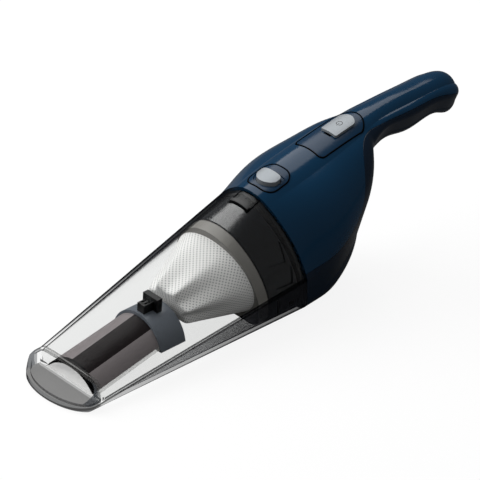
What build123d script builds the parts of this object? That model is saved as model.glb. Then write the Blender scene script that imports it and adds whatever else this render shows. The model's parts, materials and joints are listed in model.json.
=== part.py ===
from build123d import *
from collections import namedtuple
import math
import os

# Handheld vacuum, in millimetres: nose towards -X, handle towards +X, floor at Z = 0

# Overall sizes
OVERALL_LENGTH = 413.0
BOWL_LENGTH = 219.75
JOINT_HEIGHT = 95.0
JOINT_LEAN = 0.25
JOINT_HALF_WIDTH = 50.0
JOINT_CREASE_Z = 36.0
HANDLE_HALF_WIDTH = 16.5

# Scoop mouth at the nose
MOUTH_HEIGHT = 20.0
MOUTH_SET_BACK = 23.5
MOUTH_RUN = 12.0
NOSE_HALF_WIDTH = 35.5
NOSE_ROUND = 20.0
RIM_HEIGHT = 4.5
RIM_WIDTH = 3.2

# Share of a wall's inset that each corner of a section takes
FOOT_SHARE = 0.5
EDGE_SHARE = 0.4
SHOULDER_SHARE = 0.55
CROWN_SHARE = 0.85
DUCT_SIDE_SHARE = 1.3
ROUND_SHARE = 1 - math.sqrt(0.5)

# Walls and clearances
BOWL_WALL = 2.4
HOUSING_WALL = 3.0
PANEL_DEPTH = 1.6
SLIDING_GAP = 0.5
SEAT_GAP = 0.15
LINE_GAP = 0.3
PANEL_LINE = 0.7
SHAFT_GAP = 0.05
BORE_GAP = 0.01
OVERCUT = 1.0
POD_OVER = 0.2

# Inlet duct and flap
DUCT_SET_BACK = 1.0
DUCT_OVER = 0.1
DUCT_LENGTH = 66.5
DUCT_WALL = 1.8
DUCT_FRONT_HALF = 25.5
DUCT_FRONT_HEIGHT = 14.4
DUCT_REAR_HALF = 23.5
DUCT_REAR_HEIGHT = 17.0
DUCT_RISE = 11.8
DUCT_SEAT_WALL = 1.6
DUCT_SEAT_LEDGE = 4.6
FRONT_WALL = 2.0
COLLAR_LENGTH = 24.0
COLLAR_WALL = 2.0
COLLAR_STEP = 1.7
COLLAR_GRIP = 2.5
FLAP_THICKNESS = 1.6
FLAP_SET_IN = 3.5
FLAP_SILL = 1.0
FLAP_PIN_RADIUS = 1.2
FLAP_PIN_DROP = 3.0
FLAP_BARREL_WALL = 0.9
FLAP_BARREL_HALF = 7.0
FLAP_EAR = 3.4
FLAP_EAR_REACH = 2.0
FLAP_EAR_DROP = 2.2
CLIP_LENGTH = 14.0
CLIP_WIDTH = 7.0
CLIP_RISE = 7.0
CLIP_BAR_LENGTH = 5.0
CLIP_BAR_WIDTH = 15.0
CLIP_BAR_RISE = 10.0
CLIP_SLOT_LENGTH = 5.0
CLIP_SLOT_WIDTH = 1.4
CLIP_SLOT_DEPTH = 4.5
CLIP_SLOT_PLACE = 2.0
CLIP_SLOT_INSIDE = 1.0
CLIP_PLACE = 2.0
FLAP_ROOM = 0.6

# Spigot, filter and latch
SPIGOT_LENGTH = 35.0
SPIGOT_WALL = 2.2
BULKHEAD = 3.0
GASKET_PLACE = 7.0
GASKET_WIDTH = 3.0
GASKET_DEPTH = 1.0
POCKET_DEPTH = 1.2
POCKET_LENGTH = 16.0
POCKET_HEIGHT = 14.0
POCKET_LOW = 36.0
POCKET_PITCH = 18.0
POCKETS = 2
SHELF_Z = 79.0
SHELF_THICKNESS = 2.0
SHELF_HALF = 7.0
SCREW_RADIUS = 1.5
SCREW_HEAD = 2.9
SCREW_HEAD_HEIGHT = 2.2
SPIGOT_SCREW_Y = 33.0
SPIGOT_SCREW_Z = 60.0
SPIGOT_SCREW_LENGTH = 12.0
GRILLE_BAR = 1.8
GRILLE_RINGS = (7.0, 15.0)
GRILLE_SPOKES = 6
GRILLE_THICKNESS = 3.0
GRILLE_FORWARD = 12.0
GRILLE_LIP = 2.0
FILTER_RING = 9.0
FILTER_PLATE = 2.0
FILTER_PLUG = 10.0
FILTER_LENGTH = 50.0
FILTER_PLEATS = 7
FILTER_PLEAT = 0.3
FILTER_FELT = 2.0
FILTER_WALL = 2.0
FILTER_CLEARANCE = 1.0
FILTER_LEDGE = 6.0
SEAL_THICKNESS = 0.7
SEAL_LAP = 0.2
LATCH_HALF = 9.0
LATCH_THICKNESS = 2.5
LATCH_BITE = 1.2
LATCH_PLACE = 10.0
LATCH_DROP = 5.4
LATCH_SIDE_GAP = 1.0
LATCH_RELIEF = 4.0
PRESS_TRAVEL = 2.5

# Release button and power slider, set into panels in the top of the housing
RELEASE_PANEL = 26.5
RELEASE_PANEL_ROUND = 9.0
RELEASE_PANEL_SHIFT = 2.4
RELEASE_ROUND = 3.0
RELEASE_PLACE = 16.8
RELEASE_LENGTH = 13.0
RELEASE_WIDTH = 19.0
MOAT_WIDTH = 2.4
MOAT_DEPTH = 0.8
BUTTON_RISE = 2.4
STEM_HALF = 4.0
STEM_WIDTH = 10.0
LATCH_PAD_EDGE = 1.0
SPRING_SET_FORWARD = 2.0
SPRING_RADIUS = 3.0
SPRING_WIRE = 0.35
SPRING_TURNS = 5
SWITCH_PLACE = 68.5
SWITCH_PANEL_LENGTH = 52.5
SWITCH_PANEL_HALF = 14.2
SWITCH_PANEL_FRONT = 33.2
SWITCH_PANEL_ROUND = 4.5
SWITCH_PANEL_BOW = 9.5
SLIDER_LENGTH = 24.0
SLIDER_HALF = 7.8
SLIDER_TRAVEL = 8.0
SLIDER_LIFT = 0.5
SLIDER_ROUND = 1.5
SLIDER_BOW = 4.5
NECK_LENGTH = 10.0
NECK_WIDTH = 6.0
CARRIER_HALF_LENGTH = 8.0
CARRIER_HALF = 5.5
CARRIER_THICKNESS = 2.4
PRONG = 1.5
PRONG_GAP = 0.7
PRONG_REACH = 3.0
SWITCH_TOP = 104.0
SWITCH_HEIGHT = 9.0
SWITCH_HALF = 6.1
SWITCH_AHEAD = 14.0
SWITCH_BEHIND = 7.0
SWITCH_FLOOR = 3.0
SWITCH_TAGS = 3
TAG_PITCH = 5.0
TAG_LENGTH = 5.0
TAG_HALF = 1.2
TAG_THICKNESS = 0.6

# Ribs, bosses and screws of the housing
FRONT_SCREW_PLACE = 94.0
REAR_SCREW_PLACE = 19.0
HANDLE_SCREW_SEAT = 99.5
HANDLE_SCREW_TIP = 116.9
BOSS_SPLIT = 113.0
UPPER_BOSS_RADIUS = 3.6
LOWER_BOSS_RADIUS = 4.8
SWITCH_RIB = 2.0
SWITCH_RIB_AHEAD = 12.0
SWITCH_RIB_BEHIND = 10.0
SCREW_BLOCK_Y = (29.0, 45.0)
SCREW_BLOCK_HALF = 4.0
BOARD_POST_RADIUS = 2.0
WEB = 3.0
EXHAUST_PLACE = 30.0
EXHAUST_LENGTH = 36.0
EXHAUST_HALF = 17.0
EXHAUST_SLOTS = 8
EXHAUST_SLOT = 2.0
EXHAUST_PITCH = 4.0
EXHAUST_EDGE = 3.0

# Motor and fan
MOTOR_Z = 47.0
MOTOR_RADIUS = 18.0
MOTOR_LENGTH = 44.0
CAN_WALL = 1.4
SHAFT_RADIUS = 1.6
BUSH_RADIUS = 3.5
BUSH_SEAT = 1.5
NOSE_BOSS = 2.4
MAGNET_START = 5.0
MAGNET_LENGTH = 28.0
MAGNET_THICKNESS = 3.0
MAGNET_GAP = 8.0
ENDBELL_THICKNESS = 2.5
ENDBELL_SPIGOT = 3.0
ENDBELL_WALL = 2.0
ENDBELL_BOSS = 5.0
MOTOR_TAG_Y = 10.0
MOTOR_TAG_LENGTH = 4.5
MOTOR_TAG_HALF = 2.0
SHAFT_END = 0.5
ARMATURE_START = 7.0
ARMATURE_LENGTH = 24.0
ARMATURE_GAP = 0.7
ARMATURE_POLES = 5
POLE_SLOT = 1.6
POLE_TIP = 2.0
WINDING_WIDTH = 4.8
WINDING_DEPTH = 6.0
COMMUTATOR_RADIUS = 4.2
COMMUTATOR_LENGTH = 8.0
MOUNT_PLACES = (15.0, 31.0)
MOUNT_THICKNESS = 3.0
MOUNT_LIP = 1.0
FAN_RADIUS = 33.0
FAN_DEPTH = 11.0
FAN_BLADES = 9
FAN_PLATE = 1.5
FAN_HUB = 6.0
FAN_HUB_DEPTH = 10.0
FAN_CLEARANCE = 2.0
BLADE_ROOT = 12.0
BLADE_MIDDLE = 22.0
BLADE_SWEEP = (20.0, 46.0)
BLADE_WIDTH = (6.0, 3.5, 2.5)
SHROUD_PLACE = 4.5
SHROUD_RADIUS = 38.0
SHROUD_WALL = 2.0
SHROUD_ROOM = 8.0
SHROUD_SLOTS = 12
SHROUD_SLOT = 6.4
INTAKE_RADIUS = 24.0
EYE_RADIUS = 22.0
NECK_WALL = 2.0

# Battery and charging socket in the handle
CELL_RADIUS = 9.2
CELL_LENGTH = 65.0
CELL_PLACE = 100.5
CELL_Z = 108.5
CELL_BUTTON = 3.2
CELL_BUTTON_RISE = 1.2
CRADLE_PLACE = 6.0
CRADLE_LENGTH = 36.0
CRADLE_HALF = 8.5
CRADLE_RISE = 3.0
TAB_THICKNESS = 0.3
TAB_HALF = 3.0
TAB_BELOW = 4.0
TAB_ABOVE = 7.0
BOARD_LENGTH = 30.0
BOARD_AHEAD = 46.0
BOARD_HALF = 11.0
BOARD_Z = 88.5
BOARD_THICKNESS = 1.6
BOARD_POST_EDGE = 3.0
CHIP_PLACE = 7.0
CHIP_LENGTH = 6.0
CHIP_HEIGHT = 1.8
COIL_PLACE = 16.0
COIL_LENGTH = 7.0
COIL_HEIGHT = 4.0
JACK_RADIUS = 3.6
JACK_WALL = 0.85
JACK_LENGTH = 13.0
JACK_BACK = 2.5
JACK_PIN = 0.8
JACK_PIN_SET_BACK = 1.5
JACK_Z = 106.0

# Places that follow from the sizes above
LIP_X = -OVERALL_LENGTH / 2
END_X = OVERALL_LENGTH / 2
JOINT_X = LIP_X + BOWL_LENGTH
MOUTH_X = LIP_X + MOUTH_SET_BACK
NOSE_FOOT_X = MOUTH_X + JOINT_LEAN * MOUTH_HEIGHT
JOINT_TOP_X = JOINT_X - JOINT_LEAN * JOINT_HEIGHT
REACH = 300.0

Station = namedtuple("Station", "base top half crease strip foot edge shoulder crown bulge")


# Shapes used throughout
def block(x, y, z):
    """Box between two X, two Y and two Z values."""
    centre = Pos((x[0] + x[1]) / 2, (y[0] + y[1]) / 2, (z[0] + z[1]) / 2)
    return centre * Box(x[1] - x[0], y[1] - y[0], z[1] - z[0])


def rod(x, radius, z, y=0.0):
    """Round bar along X between two X values."""
    return Pos((x[0] + x[1]) / 2, y, z) * Rot(0, 90, 0) * Cylinder(radius, x[1] - x[0])


def tube(x, outer, inner, z):
    """Round tube along X between two X values."""
    return rod(x, outer, z) - rod(x, inner, z)


def cross_rod(x, radius, z, length):
    """Round bar along Y, centred on the middle plane."""
    return Pos(x, 0, z) * Rot(90, 0, 0) * Cylinder(radius, length)


def upright(x, radius, z, y=0.0):
    """Round post along Z between two Z values."""
    return Pos(x, y, (z[0] + z[1]) / 2) * Cylinder(radius, z[1] - z[0])


def side_form(outline, half):
    """Outline in the XZ plane drawn out to both sides."""
    return extrude(Plane.XZ * outline, half, both=True)


def polygon(*points):
    """Flat face inside straight edges."""
    return make_face(Polyline(*points, close=True))


def plan_form(outline, z):
    """Outline in plan drawn up between two Z values."""
    return Pos(0, 0, z[0]) * extrude(outline, z[1] - z[0])


def lean_slab(near, far):
    """All between two planes parallel to the joint, named by where they meet the floor."""
    lean = JOINT_LEAN * REACH
    return side_form(polygon((near + lean, -REACH), (far + lean, -REACH), (far - lean, REACH),
                             (near - lean, REACH)), REACH)


def section(station, inset=0.0):
    """Closed cross-section of the body: flat foot, side strip, crease, flank and crowned top."""
    base = Vector(station.base[0], 0, station.base[1])
    top = Vector(station.top[0], 0, station.top[1])
    height = (top - base).length
    rise = (top - base).normalized()

    def at(y, h):
        return base + rise * h + Vector(0, y, 0)

    foot = Vector(station.foot - FOOT_SHARE * inset, inset)
    strip = Vector(station.strip - inset, station.edge + EDGE_SHARE * inset)
    crease = Vector(station.half - inset, station.crease)
    shoulder = Vector(station.shoulder - SHOULDER_SHARE * inset, height - station.crown - CROWN_SHARE * inset)
    corner = Vector(strip.X, foot.Y)
    round_mid = corner + ((foot - corner) + (strip - corner)) * ROUND_SHARE
    chord = shoulder - crease
    flank_mid = (shoulder + crease) * 0.5 + Vector(chord.Y, -chord.X).normalized() * station.bulge

    def right(p):
        return at(p.X, p.Y)

    def left(p):
        return at(-p.X, p.Y)

    edges = [
        Line(left(foot), right(foot)),
        ThreePointArc(right(foot), right(round_mid), right(strip)),
        Line(right(strip), right(crease)),
        ThreePointArc(right(crease), right(flank_mid), right(shoulder)),
        ThreePointArc(right(shoulder), at(0, height - inset), left(shoulder)),
        ThreePointArc(left(shoulder), left(flank_mid), left(crease)),
        Line(left(crease), left(strip)),
        ThreePointArc(left(strip), left(round_mid), left(foot)),
    ]
    return make_face(edges)


def leaning(x_foot, height, half, crease, strip, foot, edge, shoulder, crown, bulge):
    """Station in a plane parallel to the joint, named by where that plane meets the floor."""
    return Station((x_foot, 0), (x_foot - JOINT_LEAN * height, height), half,
                   crease * math.hypot(1, JOINT_LEAN), strip, foot, edge, shoulder, crown, bulge)


# Sections of the body, from the mouth to the joint and from the joint to the end of the handle
NOSE = leaning(NOSE_FOOT_X, MOUTH_HEIGHT, NOSE_HALF_WIDTH, 5.0, NOSE_HALF_WIDTH - 0.8,
               NOSE_HALF_WIDTH - 3.2, 2.4, 27, 0.9, 3.0)
JOINT = leaning(JOINT_X, JOINT_HEIGHT, JOINT_HALF_WIDTH, JOINT_CREASE_Z, JOINT_HALF_WIDTH - 3,
                JOINT_HALF_WIDTH - 20, 17, 17, 5.6, 7.3)
POD = [
    JOINT,
    Station((JOINT_X + 22, 0), (JOINT_X + 2, 101.3), 49.5, 42, 45, 28, 18, 18.5, 5.6, 12),
    Station((JOINT_X + 47, 0.4), (JOINT_X + 38, 109.4), 45.5, 52.6, 37, 20, 22.6, 18.5, 5.6, 12.5),
    Station((JOINT_X + 60, 6.6), (JOINT_X + 53, 112.7), 41.3, 55.2, 31.5, 16.5, 20.6, 17.9, 5.5, 10.6),
    Station((JOINT_X + 70, 17), (JOINT_X + 66, 115.4), 36.5, 56, 26, 13, 18, 17, 5.4, 8.5),
    Station((JOINT_X + 77, 43), (JOINT_X + 81, 118.4), 26, 46, 17, 9, 12, 15, 5.4, 5),
    Station((JOINT_X + 79, 70), (JOINT_X + 90, 119.8), 20, 30, 14, 8, 8, 13.5, 5.4, 3),
    Station((JOINT_X + 90, 88), (JOINT_X + 101, 121.0), 17.6, 19, 14, 8, 6, 12.2, 5.4, 2.6),
    Station((JOINT_X + 116, 95), (JOINT_X + 119, 122.4), HANDLE_HALF_WIDTH, 14, 14, 8, 6, 11.5, 5.4, 2.4),
]
HANDLE = [
    Station((JOINT_X + 145, 95), (JOINT_X + 145, 123.5), HANDLE_HALF_WIDTH, 14, 14, 8, 6, 11.5, 5.4, 2.4),
    Station((END_X - 24, 95.4), (END_X - 24, 124.2), HANDLE_HALF_WIDTH, 14, 14, 8, 6, 11.5, 5.4, 2.4),
    Station((END_X - 13, 92.0), (END_X - 10.5, 122.4), 16, 16, 13, 7.5, 6.5, 10.5, 5.4, 2.4),
    Station((END_X - 4, 95.0), (END_X - 3.5, 117.8), 12.4, 12.5, 10, 6, 5, 8, 4.2, 1.6),
]
HANDLE_TIP = Station((END_X, 102), (END_X, 111.5), 6, 5, 5, 3, 2, 3.5, 2, 0.7)


def between(a, b, share):
    """Station part of the way from one to the other."""
    def mix(p, q):
        if isinstance(p, tuple):
            return tuple(mix(m, n) for m, n in zip(p, q))
        return p + (q - p) * share
    return Station(*(mix(p, q) for p, q in zip(a, b)))


def bowl_station(place):
    """Station of the bowl in the leaning plane that meets the floor at a place along X."""
    return between(NOSE, JOINT, (place - NOSE_FOOT_X) / (JOINT_X - NOSE_FOOT_X))


def bowl_form(inset, start=NOSE_FOOT_X, end=JOINT_X):
    """Tapered form of the bowl between two leaning planes."""
    return loft([section(bowl_station(place), inset) for place in (start, end)], ruled=True)


def bowl_ring(outer, inner, start, end):
    """Ring between two insets of the bowl's form."""
    return bowl_form(outer, start, end) - bowl_form(inner, start - OVERCUT, end + OVERCUT)


def nose_form(inset, rim):
    """Straight run of the mouth's section, rounded in plan at the front."""
    run = extrude(section(NOSE, inset), MOUTH_SET_BACK + MOUTH_HEIGHT, dir=(-1, 0, 0))
    half = NOSE_HALF_WIDTH - rim
    round_front = Pos(LIP_X + NOSE_ROUND, 0) * Ellipse(NOSE_ROUND - rim, half)
    straight = Pos(LIP_X + NOSE_ROUND + REACH / 2, 0) * Rectangle(REACH, 2 * half)
    return run & plan_form(round_front + straight, (-OVERCUT, REACH))


def below(z):
    """All below a level."""
    return block((-REACH, REACH), (-REACH, REACH), (-REACH, z))


def pod_form(inset, rest=()):
    """Smooth form of the motor pod, drawn a little forward of the joint, with more sections behind."""
    ahead = between(JOINT, POD[1], -POD_OVER)
    return loft([section(station, inset) for station in (ahead, *POD, *rest)])


def housing_form(inset):
    """Hollow of the pod and handle inside a wall, flat underneath."""
    return pod_form(inset, HANDLE) - below(inset)


# Forms of the housing that several pieces are cut from
BEHIND_JOINT = lean_slab(JOINT_X, JOINT_X + REACH)
OUTER = (pod_form(0, HANDLE + [HANDLE_TIP]) & BEHIND_JOINT) - below(0)
INNER = housing_form(HOUSING_WALL)
SHELL = OUTER - INNER
SNUG = housing_form(HOUSING_WALL + SEAT_GAP)
PANEL = pod_form(PANEL_DEPTH)
PROUD = pod_form(-BUTTON_RISE)
RELEASE_RANGE = (88.0, 140.0)
SWITCH_RANGE = (102.0, 140.0)


# Places of the inlet duct, its collar and flap
DUCT_X = MOUTH_X + DUCT_SET_BACK
DUCT_REAR_X = DUCT_X + DUCT_LENGTH
DUCT_FRONT_Z = BOWL_WALL + LINE_GAP
DUCT_REAR_Z = DUCT_FRONT_Z + DUCT_RISE
COLLAR_X = DUCT_REAR_X - COLLAR_GRIP
COLLAR_END_X = COLLAR_X + COLLAR_LENGTH
COLLAR_HALF = DUCT_REAR_HALF + COLLAR_STEP
COLLAR_Z = DUCT_REAR_Z - COLLAR_WALL - LINE_GAP
COLLAR_TOP = DUCT_REAR_Z + DUCT_REAR_HEIGHT + COLLAR_WALL
COLLAR_HEIGHT = COLLAR_TOP - COLLAR_Z
FLAP_X = DUCT_REAR_X + LINE_GAP
BARREL_RADIUS = FLAP_PIN_RADIUS + FLAP_BARREL_WALL
PIN_X = FLAP_X + BARREL_RADIUS
PIN_Z = DUCT_REAR_Z + DUCT_REAR_HEIGHT - FLAP_PIN_DROP


# Dust bowl: smoked clear moulding with a scoop mouth
LATCH_X = JOINT_TOP_X - LATCH_PLACE
SLOT_HALF = LATCH_HALF + LATCH_SIDE_GAP
LATCH_SLOT_Z = JOINT_HEIGHT - LATCH_DROP - LATCH_THICKNESS - PRESS_TRAVEL - BOWL_WALL
TOOTH_ROOM = LATCH_THICKNESS / 2 + LINE_GAP


def arch(x, base, half, height):
    """Half-round section across the nose: flat floor under one arc."""
    floor = Line((x, -half, base), (x, half, base))
    return make_face([floor, ThreePointArc((x, half, base), (x, 0, base + height), (x, -half, base))])


def arch_run(x, base, half, height):
    """Half-round form between two X values."""
    return loft([arch(x[0], base, half, height), arch(x[1], base, half, height)], ruled=True)


def duct_form(inset, over=0.0):
    """Tapered rising form of the duct, drawn past both ends by a share of its length."""
    faces = []
    for share in (-over, 1 + over):
        base = DUCT_FRONT_Z + DUCT_RISE * share + inset
        half = DUCT_FRONT_HALF + (DUCT_REAR_HALF - DUCT_FRONT_HALF) * share - DUCT_SIDE_SHARE * inset
        height = DUCT_FRONT_HEIGHT + (DUCT_REAR_HEIGHT - DUCT_FRONT_HEIGHT) * share - 2 * inset
        faces.append(arch(DUCT_X + DUCT_LENGTH * share, base, half, height))
    return loft(faces, ruled=True)


def make_dust_bowl():
    """Shell with a scoop mouth, a front wall round the duct and a window for the latch's tooth."""
    outer = bowl_form(0, NOSE_FOOT_X, JOINT_X - LINE_GAP) + nose_form(0, 0)
    inner = bowl_form(BOWL_WALL, NOSE_FOOT_X, JOINT_X + OVERCUT) + nose_form(BOWL_WALL, RIM_WIDTH)
    inner -= front_wall()
    mouth = side_form(polygon((LIP_X - OVERCUT, RIM_HEIGHT), (MOUTH_X - MOUTH_RUN, RIM_HEIGHT),
                              (MOUTH_X, MOUTH_HEIGHT), (MOUTH_X, REACH), (LIP_X - OVERCUT, REACH)), REACH)
    across = (-SLOT_HALF, SLOT_HALF)
    window = block((LATCH_X - TOOTH_ROOM, LATCH_X + TOOTH_ROOM), across, (LATCH_SLOT_Z, REACH))
    relief = bowl_form(BOWL_WALL - LATCH_BITE - LINE_GAP, SPIGOT_X, JOINT_X + OVERCUT)
    relief &= block((LATCH_X, LATCH_X + TOOTH_ROOM + LATCH_RELIEF), across, (LATCH_SLOT_Z, REACH))
    return outer - inner - mouth - window - relief


def front_wall():
    """Clear wall that closes the bowl round the front of the duct."""
    wall = block((DUCT_X, DUCT_X + FRONT_WALL), (-REACH, REACH), (-OVERCUT, REACH))
    return wall - duct_form(-SEAT_GAP, DUCT_OVER)


# Inlet duct, its collar, flap and clip
def make_inlet_duct():
    """Half-round duct with a wall at its rear end that the flap shuts against."""
    rear = block((DUCT_REAR_X - DUCT_SEAT_WALL, REACH), (-REACH, REACH), (0, REACH))
    bore = duct_form(DUCT_WALL, DUCT_OVER) - rear
    return duct_form(0) - bore - duct_form(DUCT_SEAT_LEDGE, DUCT_OVER)


def make_flap_frame():
    """Collar over the rear end of the duct, with room for the flap to swing and ears for its pin."""
    outer = arch_run((COLLAR_X, COLLAR_END_X), COLLAR_Z, COLLAR_HALF, COLLAR_HEIGHT)
    room = arch_run((DUCT_REAR_X, COLLAR_END_X + OVERCUT), COLLAR_Z + COLLAR_WALL, COLLAR_HALF - COLLAR_WALL,
                    COLLAR_HEIGHT - 2 * COLLAR_WALL + FLAP_ROOM)
    ear_start = FLAP_BARREL_HALF + SLIDING_GAP
    frame = outer - room
    for side in (-1, 1):
        across = sorted((side * ear_start, side * (ear_start + FLAP_EAR)))
        ear = block((DUCT_REAR_X, PIN_X + FLAP_EAR_REACH), across, (PIN_Z - FLAP_EAR_DROP, REACH))
        frame += ear & outer
    grip = block((COLLAR_X - OVERCUT, DUCT_REAR_X), (-REACH, REACH), (0, REACH))
    frame -= duct_form(-SEAT_GAP, DUCT_OVER) & grip
    return frame - cross_rod(PIN_X, FLAP_PIN_RADIUS + SHAFT_GAP, PIN_Z, 2 * (ear_start + FLAP_EAR) + OVERCUT)


def make_flap_clip():
    """T-shaped clip with two slots, standing on top of the collar."""
    start = COLLAR_X + CLIP_PLACE
    bar = (start + CLIP_LENGTH - CLIP_BAR_LENGTH, start + CLIP_LENGTH)
    low = COLLAR_TOP - COLLAR_WALL
    clip = block((start, bar[1]), (-CLIP_WIDTH / 2, CLIP_WIDTH / 2), (low, COLLAR_TOP + CLIP_RISE))
    clip += block(bar, (-CLIP_BAR_WIDTH / 2, CLIP_BAR_WIDTH / 2), (low, COLLAR_TOP + CLIP_BAR_RISE))
    top = COLLAR_TOP + CLIP_RISE
    for side in (-1, 1):
        across = sorted((side * CLIP_SLOT_INSIDE, side * (CLIP_SLOT_INSIDE + CLIP_SLOT_WIDTH)))
        slot = (start + CLIP_SLOT_PLACE, start + CLIP_SLOT_PLACE + CLIP_SLOT_LENGTH)
        clip -= block(slot, across, (top - CLIP_SLOT_DEPTH, top + OVERCUT))
    seat = arch_run((COLLAR_X - OVERCUT, COLLAR_END_X), COLLAR_Z, COLLAR_HALF + SEAT_GAP,
                    COLLAR_HEIGHT + SEAT_GAP)
    return clip - seat


def make_flap_door():
    """Half-round flap over the opening in the duct's rear wall, hung from a barrel on the pin."""
    x = (FLAP_X, FLAP_X + FLAP_THICKNESS)
    low = DUCT_REAR_Z + FLAP_SILL
    door = arch_run(x, low, DUCT_REAR_HALF - FLAP_SET_IN, DUCT_REAR_HEIGHT - FLAP_SET_IN)
    door -= block((x[0] - OVERCUT, x[1] + OVERCUT), (-REACH, REACH), (PIN_Z - FLAP_SET_IN, REACH))
    door += block(x, (-FLAP_BARREL_HALF, FLAP_BARREL_HALF), (low + FLAP_SET_IN, PIN_Z))
    door += cross_rod(PIN_X, BARREL_RADIUS, PIN_Z, 2 * FLAP_BARREL_HALF)
    return door - cross_rod(PIN_X, FLAP_PIN_RADIUS + SHAFT_GAP, PIN_Z, 2 * FLAP_BARREL_HALF + OVERCUT)


def make_flap_pin():
    """Steel pin of the flap, held in the collar's two ears."""
    return cross_rod(PIN_X, FLAP_PIN_RADIUS, PIN_Z, 2 * (FLAP_BARREL_HALF + SLIDING_GAP + FLAP_EAR))


# Spigot that the bowl and filter push onto, with the intake grille behind it
SPIGOT_X = JOINT_X - SPIGOT_LENGTH
SPIGOT_INSET = BOWL_WALL + SLIDING_GAP
SPIGOT_INSIDE = SPIGOT_INSET + SPIGOT_WALL
GASKET_X = JOINT_X - GASKET_PLACE
RELEASE_X = JOINT_TOP_X + RELEASE_PLACE
SPRING_X = RELEASE_X - SPRING_SET_FORWARD
INTAKE_FACE_X = JOINT_X - JOINT_LEAN * MOTOR_Z
INTAKE_BORE = INTAKE_RADIUS + GRILLE_LIP


def lean_rod(x, radius, y, z):
    """Round bar square to the joint plane, measured from that plane at a height."""
    tilt = Rot(0, -math.degrees(math.atan(JOINT_LEAN)), 0)
    return Pos(JOINT_X - JOINT_LEAN * z, y, z) * tilt * rod(x, radius, 0)


def make_intake_spigot():
    """Ring inside the bowl's skirt with a bulkhead behind it, side pockets and a slot for the latch."""
    spigot = bowl_ring(SPIGOT_INSET, SPIGOT_INSIDE, SPIGOT_X, JOINT_X)
    spigot += lean_slab(JOINT_X, JOINT_X + BULKHEAD) & SNUG
    shelf = block((JOINT_TOP_X, SPRING_X + SHELF_HALF), (-SHELF_HALF, SHELF_HALF),
                  (SHELF_Z, SHELF_Z + SHELF_THICKNESS))
    spigot += shelf - lean_slab(JOINT_X - REACH, JOINT_X)
    spigot -= rod((SPIGOT_X, JOINT_X + BULKHEAD), INTAKE_BORE, MOTOR_Z)
    front = LATCH_X - TOOTH_ROOM - SLIDING_GAP
    spigot -= block((front, RELEASE_X - STEM_HALF), (-SLOT_HALF, SLOT_HALF), (LATCH_SLOT_Z, REACH))
    solid = bowl_form(SPIGOT_INSET + POCKET_DEPTH, SPIGOT_X - OVERCUT, JOINT_X + OVERCUT)
    for index in range(POCKETS):
        low = POCKET_LOW + index * POCKET_PITCH
        start = JOINT_X - JOINT_LEAN * (low + POCKET_HEIGHT / 2) - (SPIGOT_LENGTH + POCKET_LENGTH) / 2
        spigot -= block((start, start + POCKET_LENGTH), (-REACH, REACH), (low, low + POCKET_HEIGHT)) - solid
    for side in (-1, 1):
        place = (side * SPIGOT_SCREW_Y, SPIGOT_SCREW_Z)
        spigot -= lean_rod((-OVERCUT, BULKHEAD + OVERCUT), SCREW_RADIUS + SEAT_GAP, *place)
    return spigot - bowl_ring(0, SPIGOT_INSET + GASKET_DEPTH, GASKET_X, GASKET_X + GASKET_WIDTH)


def make_bowl_gasket():
    """Rubber band in the spigot's groove, open where the latch passes."""
    band = bowl_ring(BOWL_WALL + LINE_GAP, SPIGOT_INSET + GASKET_DEPTH, GASKET_X, GASKET_X + GASKET_WIDTH)
    return band - block((-REACH, REACH), (-SLOT_HALF, SLOT_HALF), (LATCH_SLOT_Z, REACH))


def make_intake_grille():
    """Round guard of rings and spokes over the intake."""
    front = INTAKE_FACE_X - GRILLE_FORWARD
    x = (front, front + GRILLE_THICKNESS)
    rim = INTAKE_BORE - SEAT_GAP
    half = GRILLE_BAR / 2
    grille = tube(x, rim, INTAKE_RADIUS - half, MOTOR_Z)
    for ring in GRILLE_RINGS:
        grille += tube(x, ring + half, ring - half, MOTOR_Z)
    for turn in range(GRILLE_SPOKES):
        spoke = block(x, (-half, half), (GRILLE_RINGS[0] - half, INTAKE_RADIUS))
        grille += Pos(0, 0, MOTOR_Z) * Rot(turn * 360 / GRILLE_SPOKES, 0, 0) * spoke
    skirt = tube((front, INTAKE_FACE_X + GRILLE_FORWARD), rim, INTAKE_RADIUS, MOTOR_Z)
    return grille + (skirt - lean_slab(JOINT_X + BULKHEAD, JOINT_X + REACH))


def make_spigot_screws():
    """Two screws through the bulkhead into the upper housing."""
    screws = []
    for side in (-1, 1):
        place = (side * SPIGOT_SCREW_Y, SPIGOT_SCREW_Z)
        screw = lean_rod((-SHAFT_GAP, SPIGOT_SCREW_LENGTH), SCREW_RADIUS, *place)
        screw += lean_rod((-SHAFT_GAP - SCREW_HEAD_HEIGHT, -SHAFT_GAP), SCREW_HEAD, *place)
        screws.append(screw.solid())
    return Compound(screws)


# Pleated filter on its frame
FILTER_X = SPIGOT_X - SEAT_GAP - SEAL_THICKNESS
FABRIC_X = FILTER_X - FILTER_RING
FILTER_INSET = BOWL_WALL + FILTER_CLEARANCE
FELT_REAR = (37.0, 39.5, 31.5)
FELT_FRONT = (29.0, 21.5, 16.0)


def folded(place, outline, inset, pleat=0.0):
    """Ring in a leaning plane: an oval, or a ridge and a valley for each pleat if it has a depth."""
    middle, half, tall = outline

    def at(turn, reach=1.0):
        y = (half - inset) * reach * math.cos(turn)
        z = middle + (tall - inset) * reach * math.sin(turn)
        return (place - JOINT_LEAN * z, y, z)

    step = math.pi / FILTER_PLEATS
    edges = []
    for fold in range(2 * FILTER_PLEATS):
        turn = math.pi / 2 + fold * step
        reach = (1 - pleat, 1.0) if fold % 2 == 0 else (1.0, 1 - pleat)
        ends = (at(turn, reach[0]), at(turn + step, reach[1]))
        edges.append(Line(*ends) if pleat else ThreePointArc(ends[0], at(turn + step / 2), ends[1]))
    return make_face(edges)


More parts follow.
